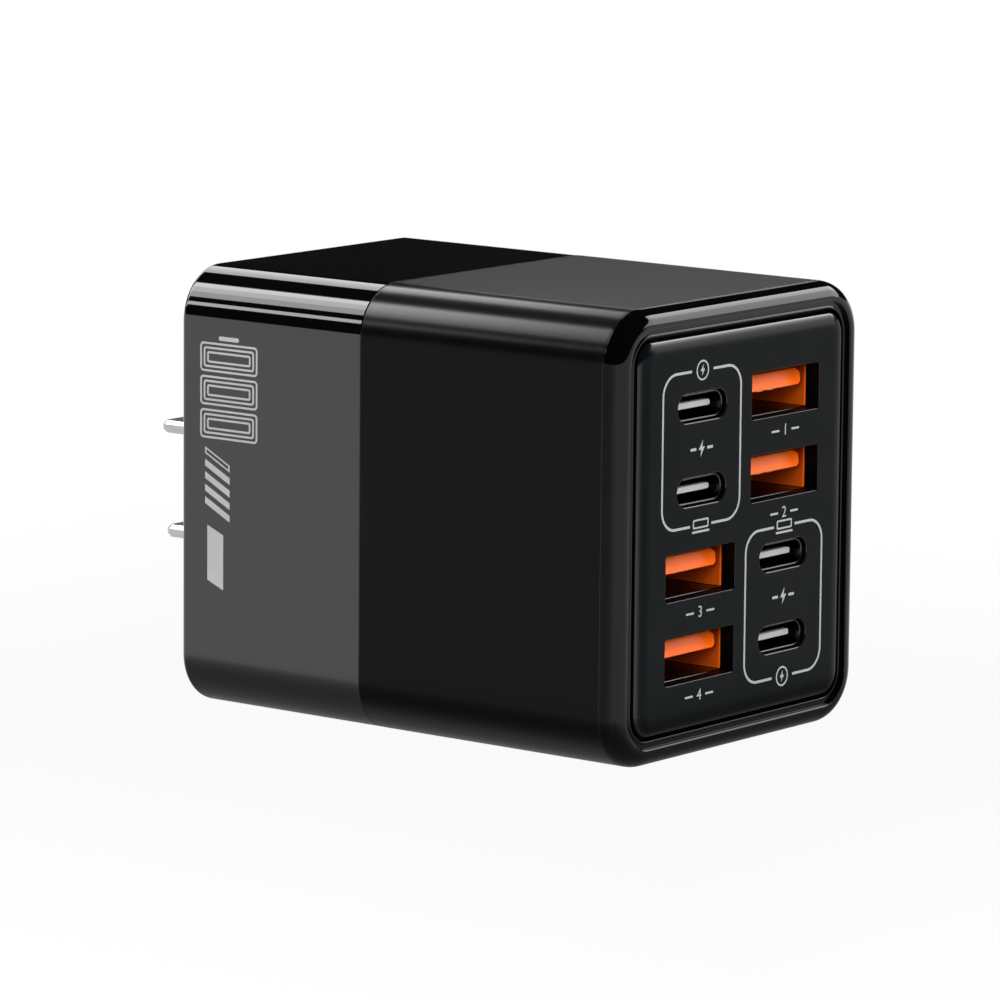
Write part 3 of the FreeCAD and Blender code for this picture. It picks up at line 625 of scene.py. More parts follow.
@dataclass(frozen=True)
class Case:
    """Sizes that the housings and the panel share."""

    width: float = 45.6
    height: float = 51.1
    length: float = 63.3
    corner: float = 6.2
    middle: float = 2.95
    wall: float = 1.8
    seam: float = -26.7
    seam_bevel: float = 0.15
    lap_length: float = 3.0
    lap_thickness: float = 0.9
    lap_clearance: float = 0.1
    rib_width: float = 1.6
    rib_height: float = 3.0
    rib_spacing: float = 28.0
    panel_proud: float = 0.25
    print_room: float = 0.012
    panel_thickness: float = 1.9
    port_depth: float = 13.6
    board_thickness: float = 1.6

    @property
    def front(self) -> float:
        """Depth of the rim's foremost edge."""
        return -self.length

    @property
    def panel_face(self) -> float:
        """Depth of the front of the panel's print."""
        return self.front - self.panel_proud

    @property
    def panel_back(self) -> float:
        """Depth of the panel's back."""
        return self.panel_face + self.panel_thickness

    @property
    def board_front(self) -> float:
        """Depth of the port board's front."""
        return self.panel_back + self.port_depth

    @property
    def outline(self) -> Outline:
        """The body's outline."""
        return Outline(self.width, self.height, self.corner, z=self.middle)

    def add_ribs(self, body: Body, y_low: float, y_high: float) -> None:
        """Adds the two ribs that carry the main board.

        Args:
            body: the housing in the making.
            y_low: the ribs' front end.
            y_high: their back end.
        """
        floor = self.middle - self.height / 2 + self.wall
        for side in (-1, 1):
            x = side * self.rib_spacing / 2
            body.block(Vector((x - self.rib_width / 2, y_low, floor - self.wall / 2)),
                       Vector((x + self.rib_width / 2, y_high, floor + self.rib_height)))


CASE = Case()


@dataclass(frozen=True)
class FrontHousing:
    """The satin sleeve with its rounded rim, lip, step and panel seat."""

    rim_depth: float = 2.4
    rim_inset: float = 1.8
    groove: float = 0.09
    rim_start: float = 0.006
    lip_flat: float = 0.2
    lip_round: float = 0.2
    step_depth: float = 0.5
    step_width: float = 0.9
    step_round: float = 0.12
    bead: float = 0.15
    bead_width: float = 0.3
    seat_width: float = 1.3
    seat_flange: float = 1.4

    def build(self) -> None:
        """Builds and dresses the sleeve."""
        front, seam = CASE.front, CASE.seam
        rim = self.rim_inset
        lip, lip_foot = rim + self.lip_flat, front + self.lip_round
        step_in = lip + self.lip_round
        opening = step_in + self.step_width
        step = front + self.step_depth
        lap_in = CASE.wall - CASE.lap_thickness - CASE.lap_clearance
        lap_end = seam - CASE.lap_length - CASE.lap_clearance
        flange = CASE.panel_back + self.seat_flange
        rim_back = front + self.rim_depth
        groove = self.groove
        ahead, behind = rim_back - groove, rim_back + groove
        profile = [(groove, rim_back)]
        profile += arc((groove, ahead), (groove, rim_back), (self.rim_start, ahead), Chords.SMALL)[1:]
        profile += arc((rim, rim_back), (0.0, rim_back), (rim, front), Chords.RIM)[2:]
        profile += arc((lip, lip_foot), (lip, front), (step_in, lip_foot), Chords.EDGE)
        profile += [(step_in, step)]
        bead, crest, foot = opening - self.step_round, step - self.bead, step + self.bead
        profile += arc((bead, step), (bead - self.bead_width, step), (bead, crest), Chords.EDGE)
        profile += arc((bead, foot), (bead, crest), (opening, foot), Chords.EDGE)[1:]
        rim_count = len(profile)
        profile += [(opening, CASE.panel_back), (opening + self.seat_width, CASE.panel_back),
                    (opening + self.seat_width, flange), (CASE.wall, flange), (CASE.wall, lap_end),
                    (lap_in, lap_end), (lap_in, seam)]
        bevel = CASE.seam_bevel
        profile += arc((bevel, seam - bevel), (bevel, seam), (0.0, seam - bevel), Chords.TINY)
        profile += arc((groove, behind), (0.0, behind), (groove, rim_back), Chords.SMALL)[:-1]
        body = Body()
        rings = [body.ring(CASE.outline.at(y, inset)) for inset, y in profile]
        satin, gloss, gap = range(3)
        body.paint = gloss
        body.skin(rings[:rim_count])
        # The groove behind the lip and step takes the painted-shade finish.
        body.paint = gap
        body.skin(rings[rim_count - 1:rim_count + 2])
        body.paint = satin
        body.skin(rings[rim_count + 1:] + rings[:1])
        CASE.add_ribs(body, CASE.board_front + CASE.board_thickness, lap_end)
        sleeve = body.piece("front_sleeve", FRONT_SATIN, "front_satin", ["front_housing"])
        for finish in (RIM_GLOSS, RECESS_PAINTED_SHADE):
            sleeve.data.materials.append(finish.material())


@dataclass(frozen=True)
class RearHousing:
    """The gloss cap with its wall face and blade slots, a hair smaller to seat its print flush."""

    wall: float = 2.4
    edge: float = 0.8
    slot_margin: float = 0.1
    slot_round: float = 0.25

    def build(self) -> None:
        """Builds and dresses the cap."""
        room, seam, bevel = CASE.print_room, CASE.seam, CASE.seam_bevel
        lap = CASE.wall - CASE.lap_thickness
        lap_end = seam - CASE.lap_length
        profile = [(CASE.wall, -self.wall), (CASE.wall, lap_end), (lap, lap_end), (lap, seam)]
        inner, edge = bevel + room, self.edge + room
        profile += arc((inner, seam + bevel), (inner, seam), (room, seam + bevel), Chords.TINY)
        profile += arc((edge, -self.edge), (room, -self.edge), (edge, 0.0), Chords.ROUND)
        body = Body()
        rings = body.tube(CASE.outline, profile)
        mouths, ends = [], []
        for blade in BLADES:
            slot = Outline(blade.width + 2 * self.slot_margin, blade.thickness + 2 * self.slot_margin,
                           self.slot_margin, blade.x, blade.z, steps=Chords.TINY)
            turn = -self.slot_round
            lip = arc((turn, turn), (turn, 0.0), (0.0, turn), Chords.SMALL)
            slot_rings = body.tube(slot, lip + [(0.0, -self.wall)])
            mouths.append(slot_rings[0])
            ends.append(slot_rings[-1])
        body.cap(rings[-1], *mouths)
        body.cap(rings[0], *ends)
        CASE.add_ribs(body, lap_end, -self.wall)
        body.piece("rear_cap", REAR_GLOSS, "rear_gloss", ["rear_housing"])


@dataclass(frozen=True)
class PortLayout:
    """Where the ports sit on the panel, about the body's middle."""

    column: float = 7.85
    inner_row: float = 4.65
    outer_row: float = 14.05

    def places(self, upper_side: int) -> list[Vector]:
        """Places of one kind of port.

        Args:
            upper_side: 1 where the upper pair is on the right, -1 where it is on the left.

        Returns:
            The four places, from top to bottom.
        """
        rows = (self.outer_row, self.inner_row, -self.inner_row, -self.outer_row)
        sides = (upper_side, upper_side, -upper_side, -upper_side)
        return [Vector((side * self.column, 0.0, CASE.middle + row)) for side, row in zip(sides, rows)]


LAYOUT = PortLayout()


def rolled_tube(front: float, back: float, wall: float, inner: float) -> list[Pair]:
    """Profile of a shell with a rolled front edge.

    Args:
        front: the depth of its front.
        back: the depth of its back.
        wall: the thickness that is rolled.
        inner: the inset of its inner face.

    Returns:
        The insets and depths, from the back of the outside to the back of the inside.
    """
    roll = wall / 2
    bend = (roll, front + roll)
    profile = [(0.0, back)] + arc(bend, (0.0, front + roll), (roll, front), Chords.TINY)
    profile += arc(bend, (roll, front), (inner, front + roll), Chords.TINY)[1:]
    return profile + [(inner, back)]


def build_ports(kind: str, places: Sequence[Vector],
                parts: Sequence[tuple[str, Body, Finish, str]]) -> None:
    """Builds the receptacles of one kind, which share their meshes.

    Args:
        kind: the start of the pieces' names.
        places: where they sit.
        parts: the name, body, finish and material slot of each part.
    """
    meshes: dict[str, bpy.types.Mesh] = {}
    for number, place in enumerate(places, 1):
        for part, body, finish, slot in parts:
            name, node = f"{kind}_{part}_new_{number}", f"{kind}_{part}_{number}"
            if part in meshes:
                place_piece(name, meshes[part], finish, [node], place)
                continue
            first = body.piece(name, finish, slot, [node])
            first.location = place * MM
            meshes[part] = first.data


@dataclass(frozen=True)
class WidePort:
    """A USB-A receptacle: folded steel shell, and orange insulator with liners, block and tongue."""

    width: float = 12.5
    height: float = 5.12
    mouth_margin: float = 0.2
    mouth_corner: float = 0.4
    shell: float = 0.3
    shell_corner: float = 0.5
    liner: float = 0.3
    block_depth: float = 4.2
    tongue_width: float = 11.1
    tongue_height: float = 1.84
    tongue_drop: float = 0.72
    tongue_setback: float = 0.1
    tongue_corner: float = 0.55
    tongue_bevel: float = 0.6
    edge: float = 0.08
    block_corner: float = 0.2
    liner_corner: float = 0.12

    def mouth(self, place: Vector) -> Outline:
        """The opening that this port needs in the panel."""
        return Outline(self.width + 2 * self.mouth_margin, self.height + self.mouth_margin,
                       self.mouth_corner, place.x, place.z, steps=Chords.MOUTH)

    def shell_mesh(self) -> Body:
        """The steel tube, with a rolled front edge."""
        front, back = CASE.panel_back, CASE.board_front
        outside = Outline(self.width + 2 * (self.liner + self.shell), self.height + 2 * self.shell,
                          self.shell_corner, steps=Chords.MOUTH)
        profile = rolled_tube(front, back, self.shell, self.shell - HAIR)
        body = Body()
        body.tube(outside, profile, closed=True)
        return body

    def insulator_mesh(self) -> Body:
        """The moulding with two liners, the block behind and the tongue with its bevelled nose."""
        front, back = CASE.panel_back, CASE.board_front
        block_front = back - self.block_depth
        body = Body()
        block = Outline(self.width + 2 * self.liner, self.height, self.block_corner, steps=Chords.HIDDEN)
        body.bar(block, [(0.0, back), (0.0, block_front)])
        edge = self.edge
        for side in (-1, 1):
            strip = Outline(self.liner, self.height, self.liner_corner,
                            x=side * (self.width + self.liner) / 2, steps=Chords.HIDDEN)
            body.bar(strip, [(0.0, block_front), (0.0, front + edge), (edge, front)])
        top = self.height / 2 - self.tongue_drop
        tongue = Outline(self.tongue_width, self.tongue_height, self.tongue_corner,
                         z=top - self.tongue_height / 2, steps=Chords.TIP)
        nose = front + self.tongue_setback
        along = [(0.0, block_front), (0.0, nose + self.tongue_bevel), (0.0, nose + edge), (edge, nose)]
        rings = body.tube(tongue, along)
        for ring in rings[1:]:
            for vertex in ring:
                over = vertex.co.z - (top - self.tongue_bevel) - (vertex.co.y - nose)
                if over > 0:
                    vertex.co.y += over
        body.cap(rings[0])
        body.cap(rings[-1])
        return body

    def build(self) -> None:
        """Builds the four receptacles."""
        build_ports("usb_a", LAYOUT.places(1), (
            ("shell", self.shell_mesh(), PORT_STEEL, "port_steel"),
            ("insulator", self.insulator_mesh(), PORT_ORANGE, "port_orange")))


@dataclass(frozen=True)
class NarrowPort:
    """A USB-C receptacle: seamless dark shell, and pale insulator with its thin tongue."""

    width: float = 8.34
    height: float = 2.56
    shell: float = 0.3
    recess: float = 0.55
    mouth_margin: float = 0.06
    tongue_width: float = 6.69
    tongue_height: float = 0.7
    tongue_recess: float = 1.5
    tongue_round: float = 0.3
    edge: float = 0.1
    block_depth: float = 7.0

    @property
    def outside(self) -> Outline:
        """The shell's outer outline."""
        height = self.height + 2 * self.shell
        return Outline(self.width + 2 * self.shell, height, height / 2 - HAIR, steps=Chords.OVAL)

    def mouth(self, place: Vector) -> Outline:
        """The opening that this port needs in the panel."""
        height = self.outside.height + 2 * self.mouth_margin
        return Outline(self.outside.width + 2 * self.mouth_margin, height, height / 2 - HAIR, place.x,
                       place.z, steps=Chords.OVAL)

    def shell_mesh(self) -> Body:
        """The drawn tube with a rolled front edge."""
        front, back = CASE.panel_face + self.recess, CASE.board_front
        profile = rolled_tube(front, back, self.shell, self.shell)
        body = Body()
        body.tube(self.outside, profile, closed=True)
        return body

    def insulator_mesh(self) -> Body:
        """The block behind and the thin tongue with a rounded front."""
        back = CASE.board_front
        block_front = back - self.block_depth
        nose = CASE.panel_face + self.tongue_recess
        body = Body()
        block = Outline(self.width, self.height, self.height / 2 - HAIR, steps=Chords.OVAL)
        body.bar(block, [(0.0, back), (0.0, block_front)])
        edge = self.edge
        tongue = Outline(self.tongue_width, self.tongue_height, self.tongue_round, steps=Chords.MOUTH)
        front = arc((edge, nose + edge), (0.0, nose + edge), (edge, nose), Chords.TINY)
        body.bar(tongue, [(0.0, block_front)] + front)
        return body

    def build(self) -> None:
        """Builds the four receptacles."""
        build_ports("usb_c", LAYOUT.places(-1), (
            ("shell", self.shell_mesh(), PORT_DARK, "port_dark_steel"),
            ("insulator", self.insulator_mesh(), PORT_PALE, "port_pale")))


WIDE_PORT = WidePort()
NARROW_PORT = NarrowPort()


@dataclass(frozen=True)
class PortPanel:
    """The pillowed panel with its eight mouths."""

    inset: float = 3.55
    pillow_width: float = 2.1
    pillow_drop: float = 0.65
    wide_round: float = 0.06
    narrow_round: float = 0.15
    back_bevel: float = 0.1
    flat_ring: float = 0.12

    def build(self) -> None:
        """Builds and dresses the panel."""
        face, back = CASE.panel_face + CASE.print_room, CASE.panel_back
        shoulder, inner = face + self.pillow_drop, self.inset + self.pillow_width
        profile = [(self.inset + self.back_bevel, back), (self.inset, back - self.back_bevel)]
        profile += arc((inner, shoulder), (self.inset, shoulder), (inner, face), Chords.RIM)
        profile += [(inner + self.flat_ring, face)]
        body = Body()
        rings = [body.ring(CASE.outline.at(y, inset)) for inset, y in profile]
        satin, gap = range(2)
        # The panel's edge and back bevel take the painted-shade finish.
        body.paint = gap
        body.skin(rings[:3])
        body.paint = satin
        body.skin(rings[2:])
        fronts, backs = [], []
        mouths = [(WIDE_PORT.mouth(place), self.wide_round) for place in LAYOUT.places(1)]
        mouths += [(NARROW_PORT.mouth(place), self.narrow_round) for place in LAYOUT.places(-1)]
        for mouth, lip in mouths:
            bend = arc((-lip, face + lip), (-lip, face), (0.0, face + lip), Chords.SMALL)
            mouth_rings = body.tube(mouth, [(-lip - self.flat_ring, face)] + bend)
            # The mouth walls take the painted-shade finish.
            body.paint = gap
            mouth_rings.append(body.ring(mouth.at(back)))
            body.skin(mouth_rings[-2:])
            body.paint = satin
            fronts.append(mouth_rings[0])
            backs.append(mouth_rings[-1])
        body.cap(rings[-1], *fronts)
        body.cap(rings[0], *backs)
        panel = body.piece("port_panel", PANEL_SATIN, "panel_satin", ["front_panel"])
        panel.data.materials.append(RECESS_PAINTED_SHADE.material())


@dataclass(frozen=True)
class Blade:
    """A plug blade with rounded tip corners, bevelled edges, a hole, and its hidden flange and tail."""

    name: str
    width: float
    z: float
    tail_side: int
    x: float = -1.6
    length: float = 18.2
    thickness: float = 1.5
    tip_corner: float = 0.8
    edge: float = 0.45
    hole: float = 3.2
    hole_from_wall: float = 11.9
    hole_edge: float = 0.12
    hole_steps: int = 40
    flange: float = 1.2
    flange_back: float = -4.0
    wall_back: float = -2.4
    tail_end: float = -9.0
    tail_width: float = 2.8
    tail_gap: float = 0.8

    def edge_levels(self, bevel: float) -> tuple[Pair, ...]:
        """Insets and heights of a bevelled edge, from the underside up."""
        half = self.thickness / 2
        return (bevel, -half), (0.0, -half + bevel), (0.0, half - bevel), (bevel, half)

    def half_plan(self, inset: float) -> list[Pair]:
        """Half of the blade's plan, from the middle of the tip to the flange.

        Args:
            inset: how far the edge is moved inwards.

        Returns:
            The points as across and along.
        """
        half, corner = self.width / 2 - inset, self.tip_corner - inset
        tip = self.length - inset
        points = [(0.0, tip)]
        shoulder, turn = half - corner, tip - corner
        points += arc((shoulder, turn), (shoulder, tip), (half, turn), Chords.TIP)
        outer = half + self.flange
        points += [(half, self.wall_back), (outer, self.wall_back), (outer, self.flange_back)]
        return points

    def build(self) -> None:
        """Builds and dresses the blade."""
        body = Body()
        middle = self.tail_side * (self.tail_gap + self.tail_width) / 2
        left, right = middle - self.tail_width / 2, middle + self.tail_width / 2
        tail = [(left, self.flange_back), (left, self.tail_end), (right, self.tail_end),
                (right, self.flange_back)]
        rings, holes = [], []
        for inset, z in self.edge_levels(self.edge):
            plan = self.half_plan(inset)
            edge = plan + tail[::-1] + [(-x, y) for x, y in reversed(plan[1:])]
            rings.append(body.ring(Vector((self.x + x, y, self.z + z)) for x, y in edge))
        for grow, z in self.edge_levels(self.hole_edge):
            hole = circle((self.x, self.hole_from_wall), self.hole / 2 + grow, self.hole_steps)
            holes.append(body.ring(Vector((x, y, self.z + z)) for x, y in hole))
        body.skin(rings)
        body.skin(holes)
        body.cap(rings[0], holes[0])
        body.cap(rings[-1], holes[-1])
        body.piece(f"{self.name}_plated", BLADE_NICKEL, "blade_nickel", [self.name])


BLADES = (Blade("neutral_blade", 7.94, 6.35, -1), Blade("line_blade", 6.35, -6.35, 1))


class Print:
    """Flat ink shapes on one face, drawn in its across and up directions."""

    def __init__(self, plane: Plane, depth: float, thickness: float) -> None:
        """Takes the face, its distance from the origin along its outward side, and the ink's thickness."""
        self.across, self.up, self.out = plane.value
        self.depth, self.thickness = depth, thickness
        self.body = Body()

    def at(self, point: Pair, proud: float) -> Vector:
        """A point of the drawing in space."""
        return self.across * point[0] + self.up * point[1] + self.out * (self.depth + proud)

    def shape(self, *loops: Sequence[Pair]) -> None:
        """Adds a flat shape from its outer loop and its holes."""
        mesh = self.body
        tops = [mesh.ring(self.at(point, self.thickness) for point in loop) for loop in loops]
        bases = [mesh.ring(self.at(point, 0.0) for point in loop) for loop in loops]
        for top, base in zip(tops, bases):
            mesh.skin([top, base])
        mesh.cap(*tops)
        mesh.cap(*bases)

    def stroke(self, points: Sequence[Pair], width: float) -> None:
        """Adds an open line of even width.

        Args:
            points: the points that it follows.
            width: its width.
        """
        left, right = [], []
        for place, point in enumerate(points):
            before, after = points[max(place - 1, 0)], points[min(place + 1, len(points) - 1)]
            run = Vector(after) - Vector(before)
            side = Vector((-run.y, run.x)).normalized() * width / 2
            left.append((point[0] + side.x, point[1] + side.y))
            right.append((point[0] - side.x, point[1] - side.y))
        self.shape(left + right[::-1])

    def text(self, words: str, middle: Pair, height: float) -> None:
        """Adds plain numerals.

        Args:
            words: the numerals.
            middle: the middle of the line.
            height: the height of a numeral.
        """
        curve = bpy.data.curves.new("numeral", "FONT")
        curve.body = words
        curve.size = height / CAP_HEIGHT
        curve.align_x, curve.align_y = "CENTER", "CENTER"
        curve.extrude = self.thickness / 2
        curve.resolution_u = 6
        carrier = bpy.data.objects.new("numeral", curve)
        bpy.context.scene.collection.objects.link(carrier)
        bpy.context.view_layer.update()
        data = bpy.data.meshes.new_from_object(carrier.evaluated_get(bpy.context.evaluated_depsgraph_get()))
        turn = Matrix((self.across, self.up, self.out)).transposed().to_4x4()
        data.transform(Matrix.Translation(self.at(middle, self.thickness / 2)) @ turn)
        self.body.mesh.from_mesh(data)
        bpy.data.objects.remove(carrier)
        bpy.data.curves.remove(curve)
        bpy.data.meshes.remove(data)

    def finish(self, name: str, finish: Finish, slot: str) -> None:
        """Makes the print's piece."""
        bmesh.ops.remove_doubles(self.body.mesh, verts=self.body.mesh.verts[:], dist=WELD)
        self.body.piece(name, finish, slot)


def rounded_box(low: Pair, high: Pair, corner: float, steps: int = Chords.EDGE) -> list[Pair]:
    """Points of a rounded rectangle between two corners, anticlockwise from its right side."""
    middle = ((low[0] + high[0]) / 2, (low[1] + high[1]) / 2)
    outline = Outline(high[0] - low[0], high[1] - low[1], corner, *middle, steps=steps)
    return [(point.x, point.z) for point in outline.at(0.0)]


def slanted(middle: Pair, width: float, height: float, lean: float) -> list[Pair]:
    """Points of a parallelogram whose right side stands higher by lean."""
    x, z = middle
    return [(x - width / 2, z - height / 2 - lean / 2), (x + width / 2, z - height / 2 + lean / 2),
            (x + width / 2, z + height / 2 + lean / 2), (x - width / 2, z + height / 2 - lean / 2)]


BOLT: tuple[Pair, ...] = ((0.12, 0.5), (-0.3, -0.08), (-0.04, -0.08),
                          (-0.12, -0.5), (0.3, 0.1), (0.04, 0.1))


@dataclass(frozen=True)
class PanelPrint:
    """Frames round the narrow ports, with their signs, and a number for each wide port."""

    line: float = 0.29
    corner: float = 2.4
    gap: float = 2.0
    sign_radius: float = 1.15
    sign_line: float = 0.2
    numeral: float = 1.25
    bolt: float = 1.9
    sign_bolt: float = 1.35
    screen_half: float = 1.45
    screen_rise: Pair = (-0.3, 0.75)
    screen_corners: Pair = (0.2, 0.08)
    screen_drop: float = 0.05
    stand_half: float = 1.6
    stand_rise: Pair = (-0.78, -0.54)
    bolt_dash: tuple[float, ...] = (1.55, 0.55, 0.16, 0.15)
    number_dash: tuple[float, ...] = (1.9, 0.75, 0.12, 0.11)
    number_drop: float = 1.85
    frames: tuple[tuple[float, ...], ...] = ((-15.2, -0.75, 0.75, 18.1), (0.6, 15.25, -18.6, -1.3))

    def frame(self, ink: Print, low: Pair, high: Pair) -> None:
        """Draws one frame as two halves with gaps at its top and bottom middle.

        Args:
            ink: the print to draw in.
            low: the frame's lower left corner.
            high: its upper right corner.
        """
        middle = (low[0] + high[0]) / 2
        upper, lower = high[1] - self.corner, low[1] + self.corner
        for side, edge in ((-1, low[0]), (1, high[0])):
            inner = edge - side * self.corner
            points = [(middle + side * self.gap, high[1])]
            points += arc((inner, upper), (inner, high[1]), (edge, upper), Chords.ROUND)
            points += arc((inner, lower), (edge, lower), (inner, low[1]), Chords.ROUND)
            points += [(middle + side * self.gap, low[1])]
            ink.stroke(points, self.line)

    def charge_sign(self, ink: Print, middle: Pair) -> None:
        """Draws a bolt in a ring."""
        ink.shape(circle(middle, self.sign_radius), circle(middle, self.sign_radius - self.sign_line))
        ink.shape([(middle[0] + x * self.sign_bolt, middle[1] + z * self.sign_bolt) for x, z in BOLT])

    def screen_sign(self, ink: Print, middle: Pair) -> None:
        """Draws a screen on its stand."""
        x, z = middle
        line, half, (low, high) = self.sign_line, self.screen_half, self.screen_rise
        outer, inner = self.screen_corners
        glass = rounded_box((x - half + line, z + low + line), (x + half - line, z + high - line), inner,
                            Chords.TINY)
        ink.shape(rounded_box((x - half, z + low), (x + half, z + high), outer, Chords.TINY), glass)
        foot, seat = (z + rise for rise in self.stand_rise)
        left, right = x - self.stand_half, x + self.stand_half
        ink.shape([(left, foot), (right, foot), (right, seat), (left, seat)])

    def dashes(self, ink: Print, middle: Pair, sizes: Sequence[float]) -> None:
        """Draws a dash on either side of a sign.

        Args:
            ink: the print to draw in.
            middle: the middle of the sign.
            sizes: a dash's distance, half length, half height and corner.
        """
        x, z = middle
        reach, half, rise, corner = sizes
        for side in (-1, 1):
            dash = x + side * reach
            ends = (dash - half, z - rise), (dash + half, z + rise)
            ink.shape(rounded_box(*ends, corner, Chords.TINY))

    def build(self) -> None:
        """Draws the print on the panel's face."""
        ink = Print(Plane.PORT_FACE, -CASE.panel_face - CASE.print_room, CASE.print_room)
        rise = CASE.middle
        for upper, (left, right, low, high) in zip((True, False), self.frames):
            self.frame(ink, (left, low + rise), (right, high + rise))
            x = (left + right) / 2
            self.charge_sign(ink, (x, (high if upper else low) + rise))
            self.screen_sign(ink, (x, (low if upper else high) + rise - self.screen_drop))
            between = (1 if upper else -1) * (LAYOUT.inner_row + LAYOUT.outer_row) / 2 + rise
            ink.shape([(x + a * self.bolt, between + b * self.bolt) for a, b in BOLT])
            self.dashes(ink, (x, between), self.bolt_dash)
        for number, place in enumerate(LAYOUT.places(1), 1):
            z = place.z - WIDE_PORT.height / 2 - self.number_drop
            ink.text(str(number), (place.x, z), self.numeral)
            self.dashes(ink, (place.x, z), self.number_dash)
        ink.finish("panel_print", PRINT_INK, "panel_satin")


@dataclass(frozen=True)
class SidePrint:
    """A charge-level motif on the gloss cap's left side: fine-lined cells, slanted stripes and a bar."""

    middle: float = 7.3
    cell_width: float = 8.6
    cell_height: float = 3.4
    cell_pitch: float = 3.85
    cell_top: float = 17.3
    cells: int = 3
    nests: int = 3
    line: float = 0.24
    nest_pitch: float = 0.52
    stripe_middle: float = 5.6
    stripe_width: float = 3.7
    stripe_height: float = 0.78
    stripe_pitch: float = 1.45
    stripe_top: float = 3.85
    stripes: int = 5
    outlined: int = 1
    lean: float = -1.9
    outlined_edge: float = 0.4
    outlined_lean: float = 0.89
    cell_corners: Pair = (0.5, 0.3)
    corner_taper: float = 4.0
    nub_half: float = 1.5
    nub_rise: Pair = (0.3, 0.8)
    nub_corner: float = 0.2
    bar_at: Pair = (-0.3, -7.6)
    bar_size: Pair = (2.4, 6.4)
    bar_lean: float = -1.0

    def nested_cell(self, ink: Print, high: float) -> None:
        """Draws one cell as fine outlines, one inside the other.

        Args:
            ink: the print to draw on.
            high: the height of the cell's top edge.
        """
        for nest in range(self.nests):
            inset = nest * self.nest_pitch
            half, top, low = self.cell_width / 2 - inset, high - inset, high - self.cell_height + inset
            corner = max(self.cell_corners[0] - inset / self.corner_taper, self.cell_corners[1])
            ink.shape(rounded_box((self.middle - half, low), (self.middle + half, top), corner),
                      rounded_box((self.middle - half + self.line, low + self.line),
                                  (self.middle + half - self.line, top - self.line), corner - self.line))

    def build(self) -> None:
        """Draws the motif, with across measured from the wall face towards the ports."""
        ink = Print(Plane.LEFT_SIDE, CASE.width / 2 - CASE.print_room, CASE.print_room)
        top = CASE.middle + self.cell_top
        low, high = (top + rise for rise in self.nub_rise)
        ink.shape(rounded_box((self.middle - self.nub_half, low), (self.middle + self.nub_half, high),
                              self.nub_corner, Chords.TINY))
        for place in range(self.cells):
            self.nested_cell(ink, top - place * self.cell_pitch)
        for place in range(self.stripes):
            spot = (self.stripe_middle, CASE.middle + self.stripe_top - place * self.stripe_pitch)
            stripe = slanted(spot, self.stripe_width, self.stripe_height, self.lean)
            if place < self.outlined:
                inside = (self.stripe_width - self.outlined_edge, self.stripe_height - self.outlined_edge)
                ink.shape(stripe, slanted(spot, *inside, self.lean * self.outlined_lean))
            else:
                ink.shape(stripe)
        ink.shape(slanted((self.stripe_middle + self.bar_at[0], CASE.middle + self.bar_at[1]),
                          *self.bar_size, self.bar_lean))
        ink.finish("side_print", SIDE_INK, "rear_gloss")


@dataclass(frozen=True)
class SoftLamp:
    """A rectangular studio lamp that faces the part, hidden from the camera."""

    name: str
    towards: tuple[float, float, float]
    distance: float
    width: float
    length: float
    radiance: float
    along: tuple[float, float, float] = (0.0, 1.0, 0.0)
    glare: bool = True

    def build(self, aim: Vector) -> None:
        """Hangs the lamp in its direction from a point.

        Args:
            aim: the point that it faces, in metres.
        """
        lamp = bpy.data.lights.new(self.name, "AREA")
        lamp.shape = "RECTANGLE"
        lamp.size, lamp.size_y = self.width, self.length
        lamp.energy = self.radiance * self.width * self.length * math.pi
        carrier = bpy.data.objects.new(self.name, lamp)
        back = Vector(self.towards).normalized()
        long_side = Vector(self.along)
        long_side = (long_side - long_side.dot(back) * back).normalized()
        turn = Matrix((long_side.cross(back), long_side, back)).transposed()
        carrier.matrix_world = Matrix.Translation(aim + back * self.distance) @ turn.to_4x4()
        carrier.visible_camera = False
        carrier.visible_glossy = self.glare
        bpy.context.scene.collection.objects.link(carrier)


